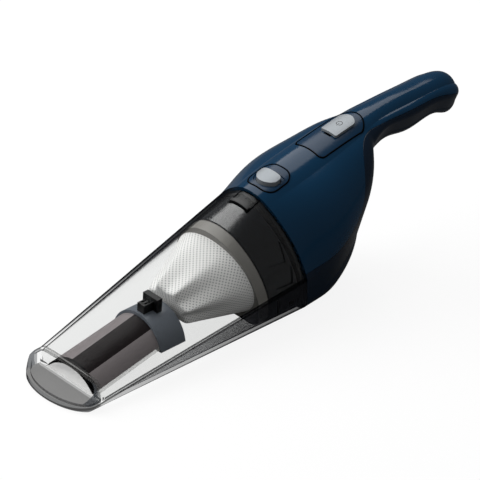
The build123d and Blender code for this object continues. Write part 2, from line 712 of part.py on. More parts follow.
def make_filter_frame():
    """Flanged ring with a front plate and a straight collar that plugs into the spigot."""
    frame = bowl_ring(FILTER_INSET, FILTER_INSET + FILTER_WALL, FABRIC_X, FILTER_X)
    frame += bowl_form(FILTER_INSET, FABRIC_X, FABRIC_X + FILTER_PLATE)
    plug_inset = SPIGOT_INSIDE + LINE_GAP
    rear = FILTER_X - FILTER_PLATE
    frame += bowl_ring(FILTER_INSET, plug_inset + FILTER_WALL, rear, FILTER_X)
    reach = FILTER_PLATE + FILTER_PLUG
    plug = extrude(section(bowl_station(rear), plug_inset), reach, dir=(1, 0, 0))
    inside = section(bowl_station(rear - OVERCUT), plug_inset + FILTER_WALL)
    plug -= extrude(inside, reach + 3 * OVERCUT, dir=(1, 0, 0))
    ends = (FABRIC_X - OVERCUT, FABRIC_X + FILTER_PLATE + OVERCUT)
    hole = loft([folded(place, FELT_REAR, FILTER_LEDGE) for place in ends], ruled=True)
    return frame + plug - hole


def make_filter_seal():
    """Thin rubber ring between the frame and the spigot."""
    return bowl_ring(SPIGOT_INSET + SEAL_LAP, SPIGOT_INSIDE + SEAL_LAP, FILTER_X, SPIGOT_X - SEAT_GAP)


def make_filter_fabric():
    """Felt cup that tapers forward from the frame, in pleats that deepen towards its front."""
    front = FABRIC_X - FILTER_LENGTH
    outer = loft([folded(FABRIC_X, FELT_REAR, 0), folded(front, FELT_FRONT, 0, FILTER_PLEAT)], ruled=True)
    inner = loft([folded(FABRIC_X + BORE_GAP, FELT_REAR, FILTER_FELT),
                  folded(front + FILTER_FELT, FELT_FRONT, FILTER_FELT, FILTER_PLEAT)], ruled=True)
    return outer - inner


# Housing shells, parted along the side of the pod and handle
PARTING = [(JOINT_X - 40, 35), (JOINT_X - 8, 41.5), (JOINT_X + 12, 45), (JOINT_X + 34, 54), (JOINT_X + 51, 70),
           (JOINT_X + 60, 92), (JOINT_X + 72, 108.5), (JOINT_X + 92, 113.5), (JOINT_X + 115, 114.3),
           (JOINT_X + 145, 115), (END_X - 26, 114.5), (END_X - 6, 109), (END_X + 10, 104)]
HANDLE_SCREWS = (JOINT_X + FRONT_SCREW_PLACE, END_X - REAR_SCREW_PLACE)
SWITCH_X = JOINT_X + SWITCH_PLACE
SWITCH_FRONT = SWITCH_X - SWITCH_PANEL_FRONT
RELEASE_PANEL_X = RELEASE_X + RELEASE_PANEL_SHIFT
EXHAUST_X = JOINT_X + EXHAUST_PLACE
BELLY_TOP = MOTOR_Z - MOTOR_RADIUS


def above_parting(shift):
    """All above the parting line moved by a shift in Z."""
    points = [(x, z + shift) for x, z in PARTING]
    rest = Polyline(points[-1], (points[-1][0], REACH), (points[0][0], REACH), points[0])
    return side_form(make_face([Spline(points), rest]), REACH)


def round_front(front, rear, half, corner):
    """Outline with rounded rear corners and a round front."""
    out = corner * ROUND_SHARE
    start = rear - 2 * corner
    return make_face([
        Line((rear, -half + corner), (rear, half - corner)),
        ThreePointArc((rear, half - corner), (rear - out, half - out), (rear - corner, half)),
        Line((rear - corner, half), (start, half)),
        ThreePointArc((start, half), (front, 0), (start, -half)),
        Line((start, -half), (rear - corner, -half)),
        ThreePointArc((rear - corner, -half), (rear - out, -half + out), (rear, -half + corner))])


def round_rear(front, rear, half, corner, bow):
    """Outline with rounded front corners, straight sides and a bowed rear end."""
    out = corner * ROUND_SHARE
    return make_face([
        Line((front, -half + corner), (front, half - corner)),
        ThreePointArc((front, half - corner), (front + out, half - out), (front + corner, half)),
        Line((front + corner, half), (rear - bow, half)),
        ThreePointArc((rear - bow, half), (rear, 0), (rear - bow, -half)),
        Line((rear - bow, -half), (front + corner, -half)),
        ThreePointArc((front + corner, -half), (front + out, -half + out), (front, -half + corner))])


def release_plan(spread):
    """Column of the release button: flat to the rear, round to the front."""
    reach = RELEASE_LENGTH / 2 + spread
    outline = round_front(RELEASE_X - reach, RELEASE_X + reach, RELEASE_WIDTH / 2 + spread, RELEASE_ROUND)
    return plan_form(outline, RELEASE_RANGE)


def release_panel_plan(spread):
    """Column of the rounded square panel round the release button."""
    size = RELEASE_PANEL + 2 * spread
    outline = Pos(RELEASE_PANEL_X, 0) * RectangleRounded(size, size, RELEASE_PANEL_ROUND + spread)
    return plan_form(outline, RELEASE_RANGE)


def switch_panel_plan(spread):
    """Column of the panel round the power slider."""
    outline = round_rear(SWITCH_FRONT - spread, SWITCH_FRONT + SWITCH_PANEL_LENGTH + spread,
                         SWITCH_PANEL_HALF + spread, SWITCH_PANEL_ROUND, SWITCH_PANEL_BOW)
    return plan_form(outline, SWITCH_RANGE)


def neck_slot(gap):
    """Column of the slot that the slider's neck runs in."""
    front = SWITCH_X - NECK_LENGTH / 2 - SLIDER_TRAVEL - gap
    half = NECK_WIDTH / 2 + gap
    return block((front, SWITCH_X + NECK_LENGTH / 2 + gap), (-half, half), SWITCH_RANGE)


def grille_window(gap):
    """Window for the exhaust grille in the rear of the pod's belly."""
    half = EXHAUST_HALF + gap
    return block((EXHAUST_X - gap, EXHAUST_X + EXHAUST_LENGTH + gap), (-half, half), (-OVERCUT, BELLY_TOP))


def jack_bore():
    """Hole for the charging socket in the end of the handle."""
    return rod((END_X - JACK_LENGTH - OVERCUT, END_X + OVERCUT), JACK_RADIUS + SEAT_GAP, JACK_Z)


def make_upper_housing():
    """Top and flanks of the pod and the top of the handle, with seats for the two panels."""
    ribs = [upright(x, UPPER_BOSS_RADIUS, (BOSS_SPLIT + SEAT_GAP, REACH)) for x in HANDLE_SCREWS]
    bore = SCREW_RADIUS + BORE_GAP
    cuts = [upright(x, bore, (BOSS_SPLIT, HANDLE_SCREW_TIP + OVERCUT)) for x in HANDLE_SCREWS]
    beside = SWITCH_HALF + SEAT_GAP
    for side in (-1, 1):
        across = sorted((side * beside, side * (beside + SWITCH_RIB)))
        ribs.append(block((SWITCH_X - SWITCH_RIB_AHEAD, SWITCH_X + SWITCH_RIB_BEHIND), across,
                          (SWITCH_TOP - SWITCH_HEIGHT, REACH)))
        boss = block((JOINT_TOP_X, SHROUD_X), sorted(side * y for y in SCREW_BLOCK_Y),
                     (SPIGOT_SCREW_Z - SCREW_BLOCK_HALF, SPIGOT_SCREW_Z + SCREW_BLOCK_HALF))
        boss_end = JOINT_X + SPIGOT_SCREW_LENGTH + 2 * OVERCUT
        ribs.append(boss & lean_slab(JOINT_X + BULKHEAD + SEAT_GAP, boss_end))
        for x in BOARD_POSTS:
            post = (BOARD_Z + BOARD_THICKNESS + SEAT_GAP, REACH)
            ribs.append(upright(x, BOARD_POST_RADIUS, post, side * BOARD_POST_Y))
        cuts.append(lean_rod((0, SPIGOT_SCREW_LENGTH + OVERCUT), bore, side * SPIGOT_SCREW_Y, SPIGOT_SCREW_Z))
    cuts += [panel - PANEL for panel in (release_panel_plan(PANEL_LINE), switch_panel_plan(PANEL_LINE))]
    cuts += [release_plan(SLIDING_GAP), neck_slot(SLIDING_GAP), jack_bore()]
    shell = SHELL & above_parting(LINE_GAP / 2)
    return shell + [rib & OUTER for rib in ribs] - cuts


def make_lower_housing():
    """Belly, rear of the pod and underside of the handle, with a cradle for the motor."""
    webs = []
    for x in MOUNT_X:
        web = block((x - WEB / 2, x + WEB / 2), (-JOINT_HALF_WIDTH, JOINT_HALF_WIDTH), (0, MOTOR_Z))
        webs.append(web - rod((x - WEB, x + WEB), MOUNT_RADIUS + SEAT_GAP, MOTOR_Z))
    cuts = [grille_window(LINE_GAP) - SNUG, jack_bore()]
    for x in HANDLE_SCREWS:
        webs.append(upright(x, LOWER_BOSS_RADIUS, (MOTOR_Z, BOSS_SPLIT)))
        cuts.append(upright(x, SCREW_RADIUS + SEAT_GAP, (HANDLE_SCREW_SEAT - OVERCUT, BOSS_SPLIT + OVERCUT)))
        cuts.append(upright(x, SCREW_HEAD + SLIDING_GAP, (MOTOR_Z, HANDLE_SCREW_SEAT)))
    shell = SHELL - above_parting(-LINE_GAP / 2)
    return shell + [web & OUTER for web in webs] - cuts


def make_exhaust_grille():
    """Slotted grille in the belly behind the fan."""
    grille = (grille_window(0) & OUTER) - INNER
    slots = Part()
    half = EXHAUST_HALF - EXHAUST_EDGE
    for index in range(EXHAUST_SLOTS):
        x = EXHAUST_X + EXHAUST_EDGE + index * EXHAUST_PITCH
        slots += block((x, x + EXHAUST_SLOT), (-half, half), (-OVERCUT, BELLY_TOP))
    return grille - slots


def make_release_bezel():
    """Rounded square panel with a moat round the release button."""
    bezel = (release_panel_plan(0) & OUTER) - PANEL
    moat = release_plan(MOAT_WIDTH) - Pos(0, 0, -MOAT_DEPTH) * OUTER
    return Pos(0, 0, SHAFT_GAP) * (bezel - moat - release_plan(SLIDING_GAP))


def make_switch_bezel():
    """Panel with the slot that the power slider runs in."""
    bezel = (switch_panel_plan(0) & OUTER) - PANEL
    return Pos(0, 0, SHAFT_GAP) * (bezel - neck_slot(SLIDING_GAP))


def make_handle_screws():
    """Two screws up through the underside of the handle."""
    screws = []
    for x in HANDLE_SCREWS:
        screw = upright(x, SCREW_RADIUS, (HANDLE_SCREW_SEAT, HANDLE_SCREW_TIP))
        head = upright(x, SCREW_HEAD, (HANDLE_SCREW_SEAT - SCREW_HEAD_HEIGHT, HANDLE_SCREW_SEAT))
        screws.append((screw + head).solid())
    return Compound(screws)


# Release button and latch
def ridge_z(x):
    """Height of the housing's ridge at a place along X on the pod."""
    for a, b in zip(POD, POD[1:]):
        if x <= b.top[0]:
            return a.top[1] + (b.top[1] - a.top[1]) * (x - a.top[0]) / (b.top[0] - a.top[0])
    return POD[-1].top[1]


PAD_Z = ridge_z(RELEASE_X - STEM_HALF) - LATCH_DROP


def make_release_button():
    """Cap that follows the top of the housing, proud of its panel, on a short stem."""
    cap = (release_plan(0) & PROUD) - PANEL
    across = (-STEM_WIDTH / 2, STEM_WIDTH / 2)
    stem = block((RELEASE_X - STEM_HALF, RELEASE_X + STEM_HALF), across, (PAD_Z, ridge_z(RELEASE_X)))
    return cap + stem


def make_release_latch():
    """Arm from under the button to a tooth in the bowl's window, flush with the spigot where it shows."""
    slope = (JOINT_HEIGHT - MOUTH_HEIGHT) / (JOINT_TOP_X - MOUTH_X)
    front = LATCH_X - LATCH_THICKNESS / 2
    joint_low = JOINT_HEIGHT - LATCH_DROP - LATCH_THICKNESS
    front_low = joint_low - (JOINT_TOP_X - front) * slope
    pad = (RELEASE_X - STEM_HALF - LATCH_PAD_EDGE, RELEASE_X + STEM_HALF + LATCH_PAD_EDGE)
    low = PAD_Z - LATCH_THICKNESS
    under = [(JOINT_TOP_X, joint_low), (pad[0], low), (pad[1], low)]
    over = [(pad[1], PAD_Z), (pad[0], PAD_Z), (JOINT_TOP_X, JOINT_HEIGHT - LATCH_DROP)]
    arm = side_form(polygon(*under, *over), LATCH_HALF)
    above = polygon((front, front_low), (JOINT_TOP_X, joint_low), (JOINT_TOP_X, REACH), (front, REACH))
    shown = side_form(above, LATCH_HALF)
    arm += bowl_form(SPIGOT_INSET + SHAFT_GAP, SPIGOT_X, JOINT_X - SLIDING_GAP) & shown
    tooth = bowl_form(BOWL_WALL - LATCH_BITE, SPIGOT_X, JOINT_X)
    tooth &= block((front, front + LATCH_THICKNESS), (-LATCH_HALF, LATCH_HALF), (front_low, REACH))
    return arm + tooth


def make_release_spring():
    """Coil spring between the shelf and the latch arm."""
    low = SHELF_Z + SHELF_THICKNESS + SPRING_WIRE + SHAFT_GAP
    height = PAD_Z - LATCH_THICKNESS - SPRING_WIRE - LINE_GAP - low
    coil = Helix(height / SPRING_TURNS, height, SPRING_RADIUS)
    wire = sweep(Plane(coil @ 0, z_dir=coil % 0) * Circle(SPRING_WIRE), path=coil)
    return Pos(SPRING_X, 0, low) * wire


# Power slider, its carrier and the electric switch
def make_power_slider():
    """Thumb slider that follows the top of the housing, on a neck through the panel."""
    reach = SLIDER_LENGTH / 2
    outline = round_rear(SWITCH_X - reach, SWITCH_X + reach, SLIDER_HALF, SLIDER_ROUND, SLIDER_BOW)
    cap = (plan_form(outline, SWITCH_RANGE) & PROUD) - Pos(0, 0, SLIDER_LIFT) * OUTER
    half = NECK_WIDTH / 2
    neck = block((SWITCH_X - NECK_LENGTH / 2, SWITCH_X + NECK_LENGTH / 2), (-half, half), SWITCH_RANGE)
    return cap + ((neck & PROUD) - Pos(0, 0, -SLIDER_LIFT) * INNER)


def make_slider_carrier():
    """Plate under the top wall that carries the slider's neck and drives the switch."""
    under = Pos(0, 0, -SLIDER_LIFT) * INNER
    across = (-CARRIER_HALF, CARRIER_HALF)
    along = (SWITCH_X - CARRIER_HALF_LENGTH, SWITCH_X + CARRIER_HALF_LENGTH)
    plate = block(along, across, SWITCH_RANGE) & under
    plate -= Pos(0, 0, -CARRIER_THICKNESS) * under
    high = ridge_z(SWITCH_X) - HOUSING_WALL - CARRIER_THICKNESS + PRONG_GAP
    prong = block((SWITCH_X - PRONG, SWITCH_X + PRONG), (-PRONG, PRONG), (SWITCH_TOP - PRONG_REACH, high))
    return plate + prong


def make_slide_switch():
    """Body of the electric slide switch, held between two ribs, with three tags below."""
    low = SWITCH_TOP - SWITCH_HEIGHT
    x = (SWITCH_X - SWITCH_AHEAD, SWITCH_X + SWITCH_BEHIND)
    body = block(x, (-SWITCH_HALF, SWITCH_HALF), (low, SWITCH_TOP))
    room = PRONG + PRONG_GAP
    body -= block((SWITCH_X - room - SLIDER_TRAVEL, SWITCH_X + room), (-room, room),
                  (low + SWITCH_FLOOR, SWITCH_TOP + OVERCUT))
    middle = (x[0] + x[1]) / 2
    for index in range(SWITCH_TAGS):
        start = middle + (index - (SWITCH_TAGS - 1) / 2) * TAG_PITCH - TAG_THICKNESS / 2
        body += block((start, start + TAG_THICKNESS), (-TAG_HALF, TAG_HALF), (low - TAG_LENGTH, low))
    return body


# Motor, fan and their casing
SHROUD_X = JOINT_X + SHROUD_PLACE
SHROUD_BACK = SHROUD_X + FAN_DEPTH + SHROUD_ROOM
FAN_X = SHROUD_X + SHROUD_WALL + FAN_CLEARANCE
FAN_BACK = FAN_X + FAN_DEPTH
MOTOR_X = SHROUD_BACK + SLIDING_GAP
MOTOR_END = MOTOR_X + MOTOR_LENGTH
MOTOR_INSIDE = MOTOR_RADIUS - CAN_WALL - SHAFT_GAP
MOUNT_X = [MOTOR_X + place for place in MOUNT_PLACES]
MOUNT_RADIUS = MOTOR_RADIUS + MOUNT_THICKNESS


def make_fan_shroud():
    """Round fan casing with an intake neck to the bulkhead and outlet slots in its back."""
    shroud = rod((SHROUD_X, SHROUD_BACK), SHROUD_RADIUS, MOTOR_Z)
    neck_start = INTAKE_FACE_X - GRILLE_FORWARD
    neck = rod((neck_start, SHROUD_X + OVERCUT), INTAKE_BORE + NECK_WALL, MOTOR_Z)
    shroud += neck - lean_slab(JOINT_X - REACH, JOINT_X + BULKHEAD + SEAT_GAP)
    shroud -= rod((SHROUD_X + SHROUD_WALL, SHROUD_BACK - SHROUD_WALL), SHROUD_RADIUS - SHROUD_WALL, MOTOR_Z)
    shroud -= rod((neck_start, SHROUD_X), INTAKE_BORE, MOTOR_Z)
    shroud -= rod((SHROUD_X - OVERCUT, SHROUD_X + SHROUD_WALL + OVERCUT), EYE_RADIUS, MOTOR_Z)
    back = (SHROUD_BACK - SHROUD_WALL - OVERCUT, SHROUD_BACK + OVERCUT)
    shroud -= rod(back, BUSH_RADIUS + BUSH_SEAT + LINE_GAP, MOTOR_Z)
    half = SHROUD_SLOT / 2
    for turn in range(SHROUD_SLOTS):
        slot = block(back, (-half, half), (MOUNT_RADIUS + SHROUD_WALL, SHROUD_RADIUS - 2 * SHROUD_WALL))
        shroud -= Pos(0, 0, MOTOR_Z) * Rot(turn * 360 / SHROUD_SLOTS, 0, 0) * slot
    return shroud


def make_fan_impeller():
    """Backplate, hub and swept-back blades."""
    hub_end = FAN_BACK + OVERCUT
    fan = rod((FAN_BACK - FAN_PLATE, FAN_BACK), FAN_RADIUS, 0)
    fan += rod((hub_end - FAN_HUB_DEPTH, hub_end), FAN_HUB, 0)

    def polar(radius, degrees):
        turn = math.radians(degrees)
        return (radius * math.cos(turn), radius * math.sin(turn))

    tip = FAN_RADIUS - OVERCUT
    places = list(zip((BLADE_ROOT, BLADE_MIDDLE, tip), (0.0, *BLADE_SWEEP), BLADE_WIDTH))
    lead = ThreePointArc(*(polar(radius, -sweep) for radius, sweep, width in places))
    trail = ThreePointArc(*(polar(radius, width - sweep) for radius, sweep, width in places))
    outline = make_face([lead, Line(lead @ 1, trail @ 1), trail, Line(lead @ 0, trail @ 0)])
    blade = Pos(FAN_X, 0, 0) * extrude(Plane.YZ * outline, FAN_DEPTH - FAN_PLATE / 2)
    for turn in range(FAN_BLADES):
        fan += Rot(turn * 360 / FAN_BLADES, 0, 0) * blade
    return Pos(0, 0, MOTOR_Z) * (fan - rod((FAN_X, hub_end + OVERCUT), SHAFT_RADIUS + BORE_GAP, 0))


def make_motor_can():
    """Drawn steel can with a nose boss for the front bush."""
    can = rod((MOTOR_X, MOTOR_END), MOTOR_RADIUS, MOTOR_Z)
    can -= rod((MOTOR_X + CAN_WALL, MOTOR_END + OVERCUT), MOTOR_RADIUS - CAN_WALL, MOTOR_Z)
    boss = (MOTOR_X - NOSE_BOSS, MOTOR_X + CAN_WALL)
    can += rod(boss, BUSH_RADIUS + BUSH_SEAT, MOTOR_Z)
    return can - rod((boss[0] - OVERCUT, boss[1] + OVERCUT), BUSH_RADIUS + BORE_GAP, MOTOR_Z)


def make_motor_magnets():
    """Pair of arc magnets inside the can."""
    start = MOTOR_X + MAGNET_START
    ring = tube((start, start + MAGNET_LENGTH), MOTOR_INSIDE, MOTOR_INSIDE - MAGNET_THICKNESS, MOTOR_Z)
    across = (-MAGNET_GAP / 2, MAGNET_GAP / 2)
    return ring - block((MOTOR_X, MOTOR_END), across, (MOTOR_Z - MOTOR_RADIUS, MOTOR_Z + MOTOR_RADIUS))


def make_motor_endbell():
    """Moulded end cap with a boss for the rear bush and two tags."""
    back = MOTOR_END + ENDBELL_THICKNESS
    cap = rod((MOTOR_END, back), MOTOR_RADIUS, MOTOR_Z)
    cap += tube((MOTOR_END - ENDBELL_SPIGOT, MOTOR_END), MOTOR_INSIDE, MOTOR_INSIDE - ENDBELL_WALL, MOTOR_Z)
    boss_end = MOTOR_END + ENDBELL_BOSS
    cap += rod((MOTOR_END, boss_end), BUSH_RADIUS + BUSH_SEAT, MOTOR_Z)
    for side in (-1, 1):
        across = sorted((side * MOTOR_TAG_Y, side * (MOTOR_TAG_Y + TAG_THICKNESS)))
        tag = (MOTOR_Z - MOTOR_TAG_HALF, MOTOR_Z + MOTOR_TAG_HALF)
        cap += block((back - OVERCUT, back + MOTOR_TAG_LENGTH), across, tag)
    return cap - rod((MOTOR_END - OVERCUT, boss_end + OVERCUT), BUSH_RADIUS + BORE_GAP, MOTOR_Z)


def make_motor_bushes():
    """Bronze bush at each end of the shaft."""
    bore = SHAFT_RADIUS + SHAFT_GAP
    front = tube((MOTOR_X - NOSE_BOSS, MOTOR_X + CAN_WALL), BUSH_RADIUS, bore, MOTOR_Z)
    rear = tube((MOTOR_END, MOTOR_END + ENDBELL_BOSS), BUSH_RADIUS, bore, MOTOR_Z)
    return Compound([front.solid(), rear.solid()])


def make_motor_mount():
    """Pair of rubber rings between the can and the housing's webs."""
    rings = []
    for x in MOUNT_X:
        ring = tube((x - WEB, x + WEB), MOUNT_RADIUS + MOUNT_LIP, MOTOR_RADIUS + BORE_GAP, MOTOR_Z)
        groove_half = WEB / 2 + SEAT_GAP
        groove = tube((x - groove_half, x + groove_half), MOUNT_RADIUS + 2 * MOUNT_LIP, MOUNT_RADIUS, MOTOR_Z)
        rings.append((ring - groove).solid())
    return Compound(rings)


def make_motor_shaft():
    """Steel shaft from the fan's hub to the rear bush."""
    start = FAN_BACK + OVERCUT - FAN_HUB_DEPTH - SHAFT_END
    return rod((start, MOTOR_END + ENDBELL_BOSS + SHAFT_END), SHAFT_RADIUS, MOTOR_Z)


def make_motor_armature():
    """Slotted armature stack and commutator on the shaft."""
    radius = MOTOR_INSIDE - MAGNET_THICKNESS - ARMATURE_GAP
    x = (MOTOR_X + ARMATURE_START, MOTOR_X + ARMATURE_START + ARMATURE_LENGTH)
    past = (x[0] - OVERCUT, x[1] + OVERCUT)
    stack = rod(x, radius, 0)
    for turn in range(ARMATURE_POLES):
        slot = block(past, (-POLE_SLOT / 2, POLE_SLOT / 2), (radius - POLE_TIP, radius + OVERCUT))
        deep = (radius - WINDING_DEPTH, radius - POLE_TIP + SLIDING_GAP)
        slot += block(past, (-WINDING_WIDTH / 2, WINDING_WIDTH / 2), deep)
        stack -= Rot(turn * 360 / ARMATURE_POLES, 0, 0) * slot
    end = x[1] + COMMUTATOR_LENGTH
    stack += rod((x[1], end), COMMUTATOR_RADIUS, 0)
    return Pos(0, 0, MOTOR_Z) * (stack - rod((past[0], end + OVERCUT), SHAFT_RADIUS + BORE_GAP, 0))


# Battery cell, charging board and socket
CELL_X = JOINT_X + CELL_PLACE
CELL_END = CELL_X + CELL_LENGTH
BOARD_X = (SWITCH_X - BOARD_AHEAD, SWITCH_X - BOARD_AHEAD + BOARD_LENGTH)
BOARD_POSTS = (BOARD_X[0] + BOARD_POST_EDGE, BOARD_X[1] - BOARD_POST_EDGE)
BOARD_POST_Y = BOARD_HALF - BOARD_POST_EDGE


def make_battery_cell():
    """Single lithium cell with its raised button."""
    button = rod((CELL_X - CELL_BUTTON_RISE, CELL_X), CELL_BUTTON, CELL_Z)
    return rod((CELL_X, CELL_END), CELL_RADIUS, CELL_Z) + button


def make_battery_cradle():
    """Trough under the cell that stands on the floor of the handle."""
    x = (CELL_X + CRADLE_PLACE, CELL_X + CRADLE_PLACE + CRADLE_LENGTH)
    across = (-CRADLE_HALF, CRADLE_HALF)
    cradle = block(x, across, (MOTOR_Z, CELL_Z - CRADLE_RISE)) & Pos(0, 0, SEAT_GAP) * INNER
    return cradle - rod((x[0] - OVERCUT, x[1] + OVERCUT), CELL_RADIUS + SEAT_GAP, CELL_Z)


def make_battery_tabs():
    """Nickel strip at each end of the cell."""
    strips = []
    tall = (CELL_Z - TAB_BELOW, CELL_Z + TAB_ABOVE)
    for start in (CELL_X - CELL_BUTTON_RISE - TAB_THICKNESS, CELL_END):
        strips.append(block((start, start + TAB_THICKNESS), (-TAB_HALF, TAB_HALF), tall).solid())
    return Compound(strips)


def make_charge_board():
    """Charging circuit board with a chip and a coil block."""
    top = BOARD_Z + BOARD_THICKNESS
    board = block(BOARD_X, (-BOARD_HALF, BOARD_HALF), (BOARD_Z, top))
    chip = (CHIP_PLACE, CHIP_LENGTH, CHIP_HEIGHT)
    coil = (COIL_PLACE, COIL_LENGTH, COIL_HEIGHT)
    for place, length, height in (chip, coil):
        start = BOARD_X[0] + place
        board += block((start, start + length), (-length / 2, length / 2), (top, top + height))
    return board


def make_charge_jack():
    """Round charging socket with a centre pin, flush with the end of the handle."""
    x = (END_X - JACK_LENGTH, END_X - SEAT_GAP)
    jack = rod(x, JACK_RADIUS, JACK_Z)
    jack -= rod((x[0] + JACK_BACK, END_X + OVERCUT), JACK_RADIUS - JACK_WALL, JACK_Z)
    return jack + rod((x[0], x[1] - JACK_PIN_SET_BACK), JACK_PIN, JACK_Z)


PIECES = {
    "dust_bowl": make_dust_bowl,
    "inlet_duct": make_inlet_duct,
    "flap_frame": make_flap_frame,
    "flap_clip": make_flap_clip,
    "flap_door": make_flap_door,
    "flap_pin": make_flap_pin,
    "filter_frame": make_filter_frame,
    "filter_fabric": make_filter_fabric,
    "filter_seal": make_filter_seal,
    "upper_housing": make_upper_housing,
    "lower_housing": make_lower_housing,
    "intake_spigot": make_intake_spigot,
    "intake_grille": make_intake_grille,
    "spigot_screws": make_spigot_screws,
    "bowl_gasket": make_bowl_gasket,
    "exhaust_grille": make_exhaust_grille,
    "release_bezel": make_release_bezel,
    "release_button": make_release_button,
    "release_latch": make_release_latch,
    "release_spring": make_release_spring,
    "switch_bezel": make_switch_bezel,
    "power_slider": make_power_slider,
    "slider_carrier": make_slider_carrier,
    "slide_switch": make_slide_switch,
    "handle_screws": make_handle_screws,
    "fan_shroud": make_fan_shroud,
    "fan_impeller": make_fan_impeller,
    "motor_can": make_motor_can,
    "motor_magnets": make_motor_magnets,
    "motor_endbell": make_motor_endbell,
    "motor_bushes": make_motor_bushes,
    "motor_mount": make_motor_mount,
    "motor_shaft": make_motor_shaft,
    "motor_armature": make_motor_armature,
    "battery_cell": make_battery_cell,
    "battery_cradle": make_battery_cradle,
    "battery_tabs": make_battery_tabs,
    "charge_board": make_charge_board,
    "charge_jack": make_charge_jack,
}


def main():
    """Make every piece and write it to its own file."""
    os.makedirs("parts", exist_ok=True)
    for name, make in PIECES.items():
        export_step(make(), f"parts/{name}.step")


if __name__ == "__main__":
    main()
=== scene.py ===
"""Dresses the handheld vacuum: its finishes, the pleated filter, small trim, and the studio."""
import json
import logging
import math
from dataclasses import dataclass, field
from enum import Enum
from typing import Protocol

import bpy
from mathutils import Matrix, Vector
from mathutils.bvhtree import BVHTree

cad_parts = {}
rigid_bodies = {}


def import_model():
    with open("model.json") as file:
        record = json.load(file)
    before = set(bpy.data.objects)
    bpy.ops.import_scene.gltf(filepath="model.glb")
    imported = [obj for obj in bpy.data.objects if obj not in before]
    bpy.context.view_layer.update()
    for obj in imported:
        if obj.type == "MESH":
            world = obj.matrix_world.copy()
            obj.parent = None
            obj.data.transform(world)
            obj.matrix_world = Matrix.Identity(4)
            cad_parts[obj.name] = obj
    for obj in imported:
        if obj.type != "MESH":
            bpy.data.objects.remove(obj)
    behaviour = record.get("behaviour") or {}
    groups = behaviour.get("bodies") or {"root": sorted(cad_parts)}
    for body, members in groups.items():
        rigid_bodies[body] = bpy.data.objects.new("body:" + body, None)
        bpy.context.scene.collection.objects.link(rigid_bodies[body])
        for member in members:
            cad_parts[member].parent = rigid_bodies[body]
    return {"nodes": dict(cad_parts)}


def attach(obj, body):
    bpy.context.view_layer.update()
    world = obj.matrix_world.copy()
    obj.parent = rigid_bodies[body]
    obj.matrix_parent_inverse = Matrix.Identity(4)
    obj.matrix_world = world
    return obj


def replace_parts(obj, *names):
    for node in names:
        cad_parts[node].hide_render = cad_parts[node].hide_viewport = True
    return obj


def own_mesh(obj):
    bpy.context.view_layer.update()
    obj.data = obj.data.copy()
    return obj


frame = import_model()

LOG = logging.getLogger("vacuum")
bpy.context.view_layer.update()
MM = 0.001
# The joint's planes lean towards the nose by this share of their height
LEAN = 0.25
# Points closer than this are one, in a modelled mesh and in a copy of a CAD mesh
WELD = 1e-5
CAD_WELD = 1e-6
# Sockets of a Mix node, which repeats their names for each type of data
SHARE, LOW, HIGH, COLOUR_A, COLOUR_B = 0, 2, 3, 6, 7
VALUE_OUT, COLOUR_OUT = 0, 2

Point = tuple[float, float, float]
Colour = tuple[float, float, float, float]
# Mask, cover and colour of one part of a surface
Zone = tuple[bpy.types.NodeSocket, object, object]


class Side(Enum):
    """The two flanks of the body, by the sign of Y."""

    NEAR = -1
    FAR = 1


class Kind(Enum):
    """Blender's name of each kind of node used here."""

    PRINCIPLED = "ShaderNodeBsdfPrincipled"
    TRANSLUCENT = "ShaderNodeBsdfTranslucent"
    TRANSPARENT = "ShaderNodeBsdfTransparent"
    GLOSSY = "ShaderNodeBsdfGlossy"
    EMISSION = "ShaderNodeEmission"
    BACKGROUND = "ShaderNodeBackground"
    MIX_SHADER = "ShaderNodeMixShader"
    SURFACE = "ShaderNodeOutputMaterial"
    WORLD = "ShaderNodeOutputWorld"
    PLACE = "ShaderNodeTexCoord"
    GEOMETRY = "ShaderNodeNewGeometry"
    LAYER_WEIGHT = "ShaderNodeLayerWeight"
    RAYS = "ShaderNodeLightPath"
    MAPPING = "ShaderNodeMapping"
    SPLIT = "ShaderNodeSeparateXYZ"
    MATH = "ShaderNodeMath"
    VECTOR_MATH = "ShaderNodeVectorMath"
    RANGE = "ShaderNodeMapRange"
    MIX = "ShaderNodeMix"
    NOISE = "ShaderNodeTexNoise"
    VORONOI = "ShaderNodeTexVoronoi"
    BUMP = "ShaderNodeBump"


class Finish(Protocol):
    """What every finish has."""

    @property
    def name(self) -> str:
        """Name of its material."""

    def material(self) -> bpy.types.Material:
        """Make its material."""


def linear(code: str) -> Colour:
    """Turn an sRGB hex colour into a linear one.

    Args:
        code: Six hex digits after a hash sign.

    Returns:
        Red, green, blue and one for alpha.
    """
    parts = [int(code[i:i + 2], 16) / 255 for i in (1, 3, 5)]
    red, green, blue = (p / 12.92 if p <= 0.04045 else ((p + 0.055) / 1.055) ** 2.4 for p in parts)
    return red, green, blue, 1.0


def add(tree: bpy.types.NodeTree, kind: Kind, inputs: dict | None = None,
        **settings: object) -> bpy.types.Node:
    """Add a node with its settings, and set or link its inputs.

    Args:
        tree: Node tree to add to.
        kind: Kind of the node.
        inputs: A value, or an output socket to link from, by input socket.
        settings: Properties of the node itself.

    Returns:
        The new node.
    """
    node = tree.nodes.new(kind.value)
    for name, value in settings.items():
        setattr(node, name, value)
    for socket, value in (inputs or {}).items():
        if isinstance(value, bpy.types.NodeSocket):
            tree.links.new(value, node.inputs[socket])
        else:
            node.inputs[socket].default_value = value
    return node


def per_metre(size_mm: float) -> float:
    """Texture scale whose features are a size in millimetres apart."""
    return 1000.0 / size_mm


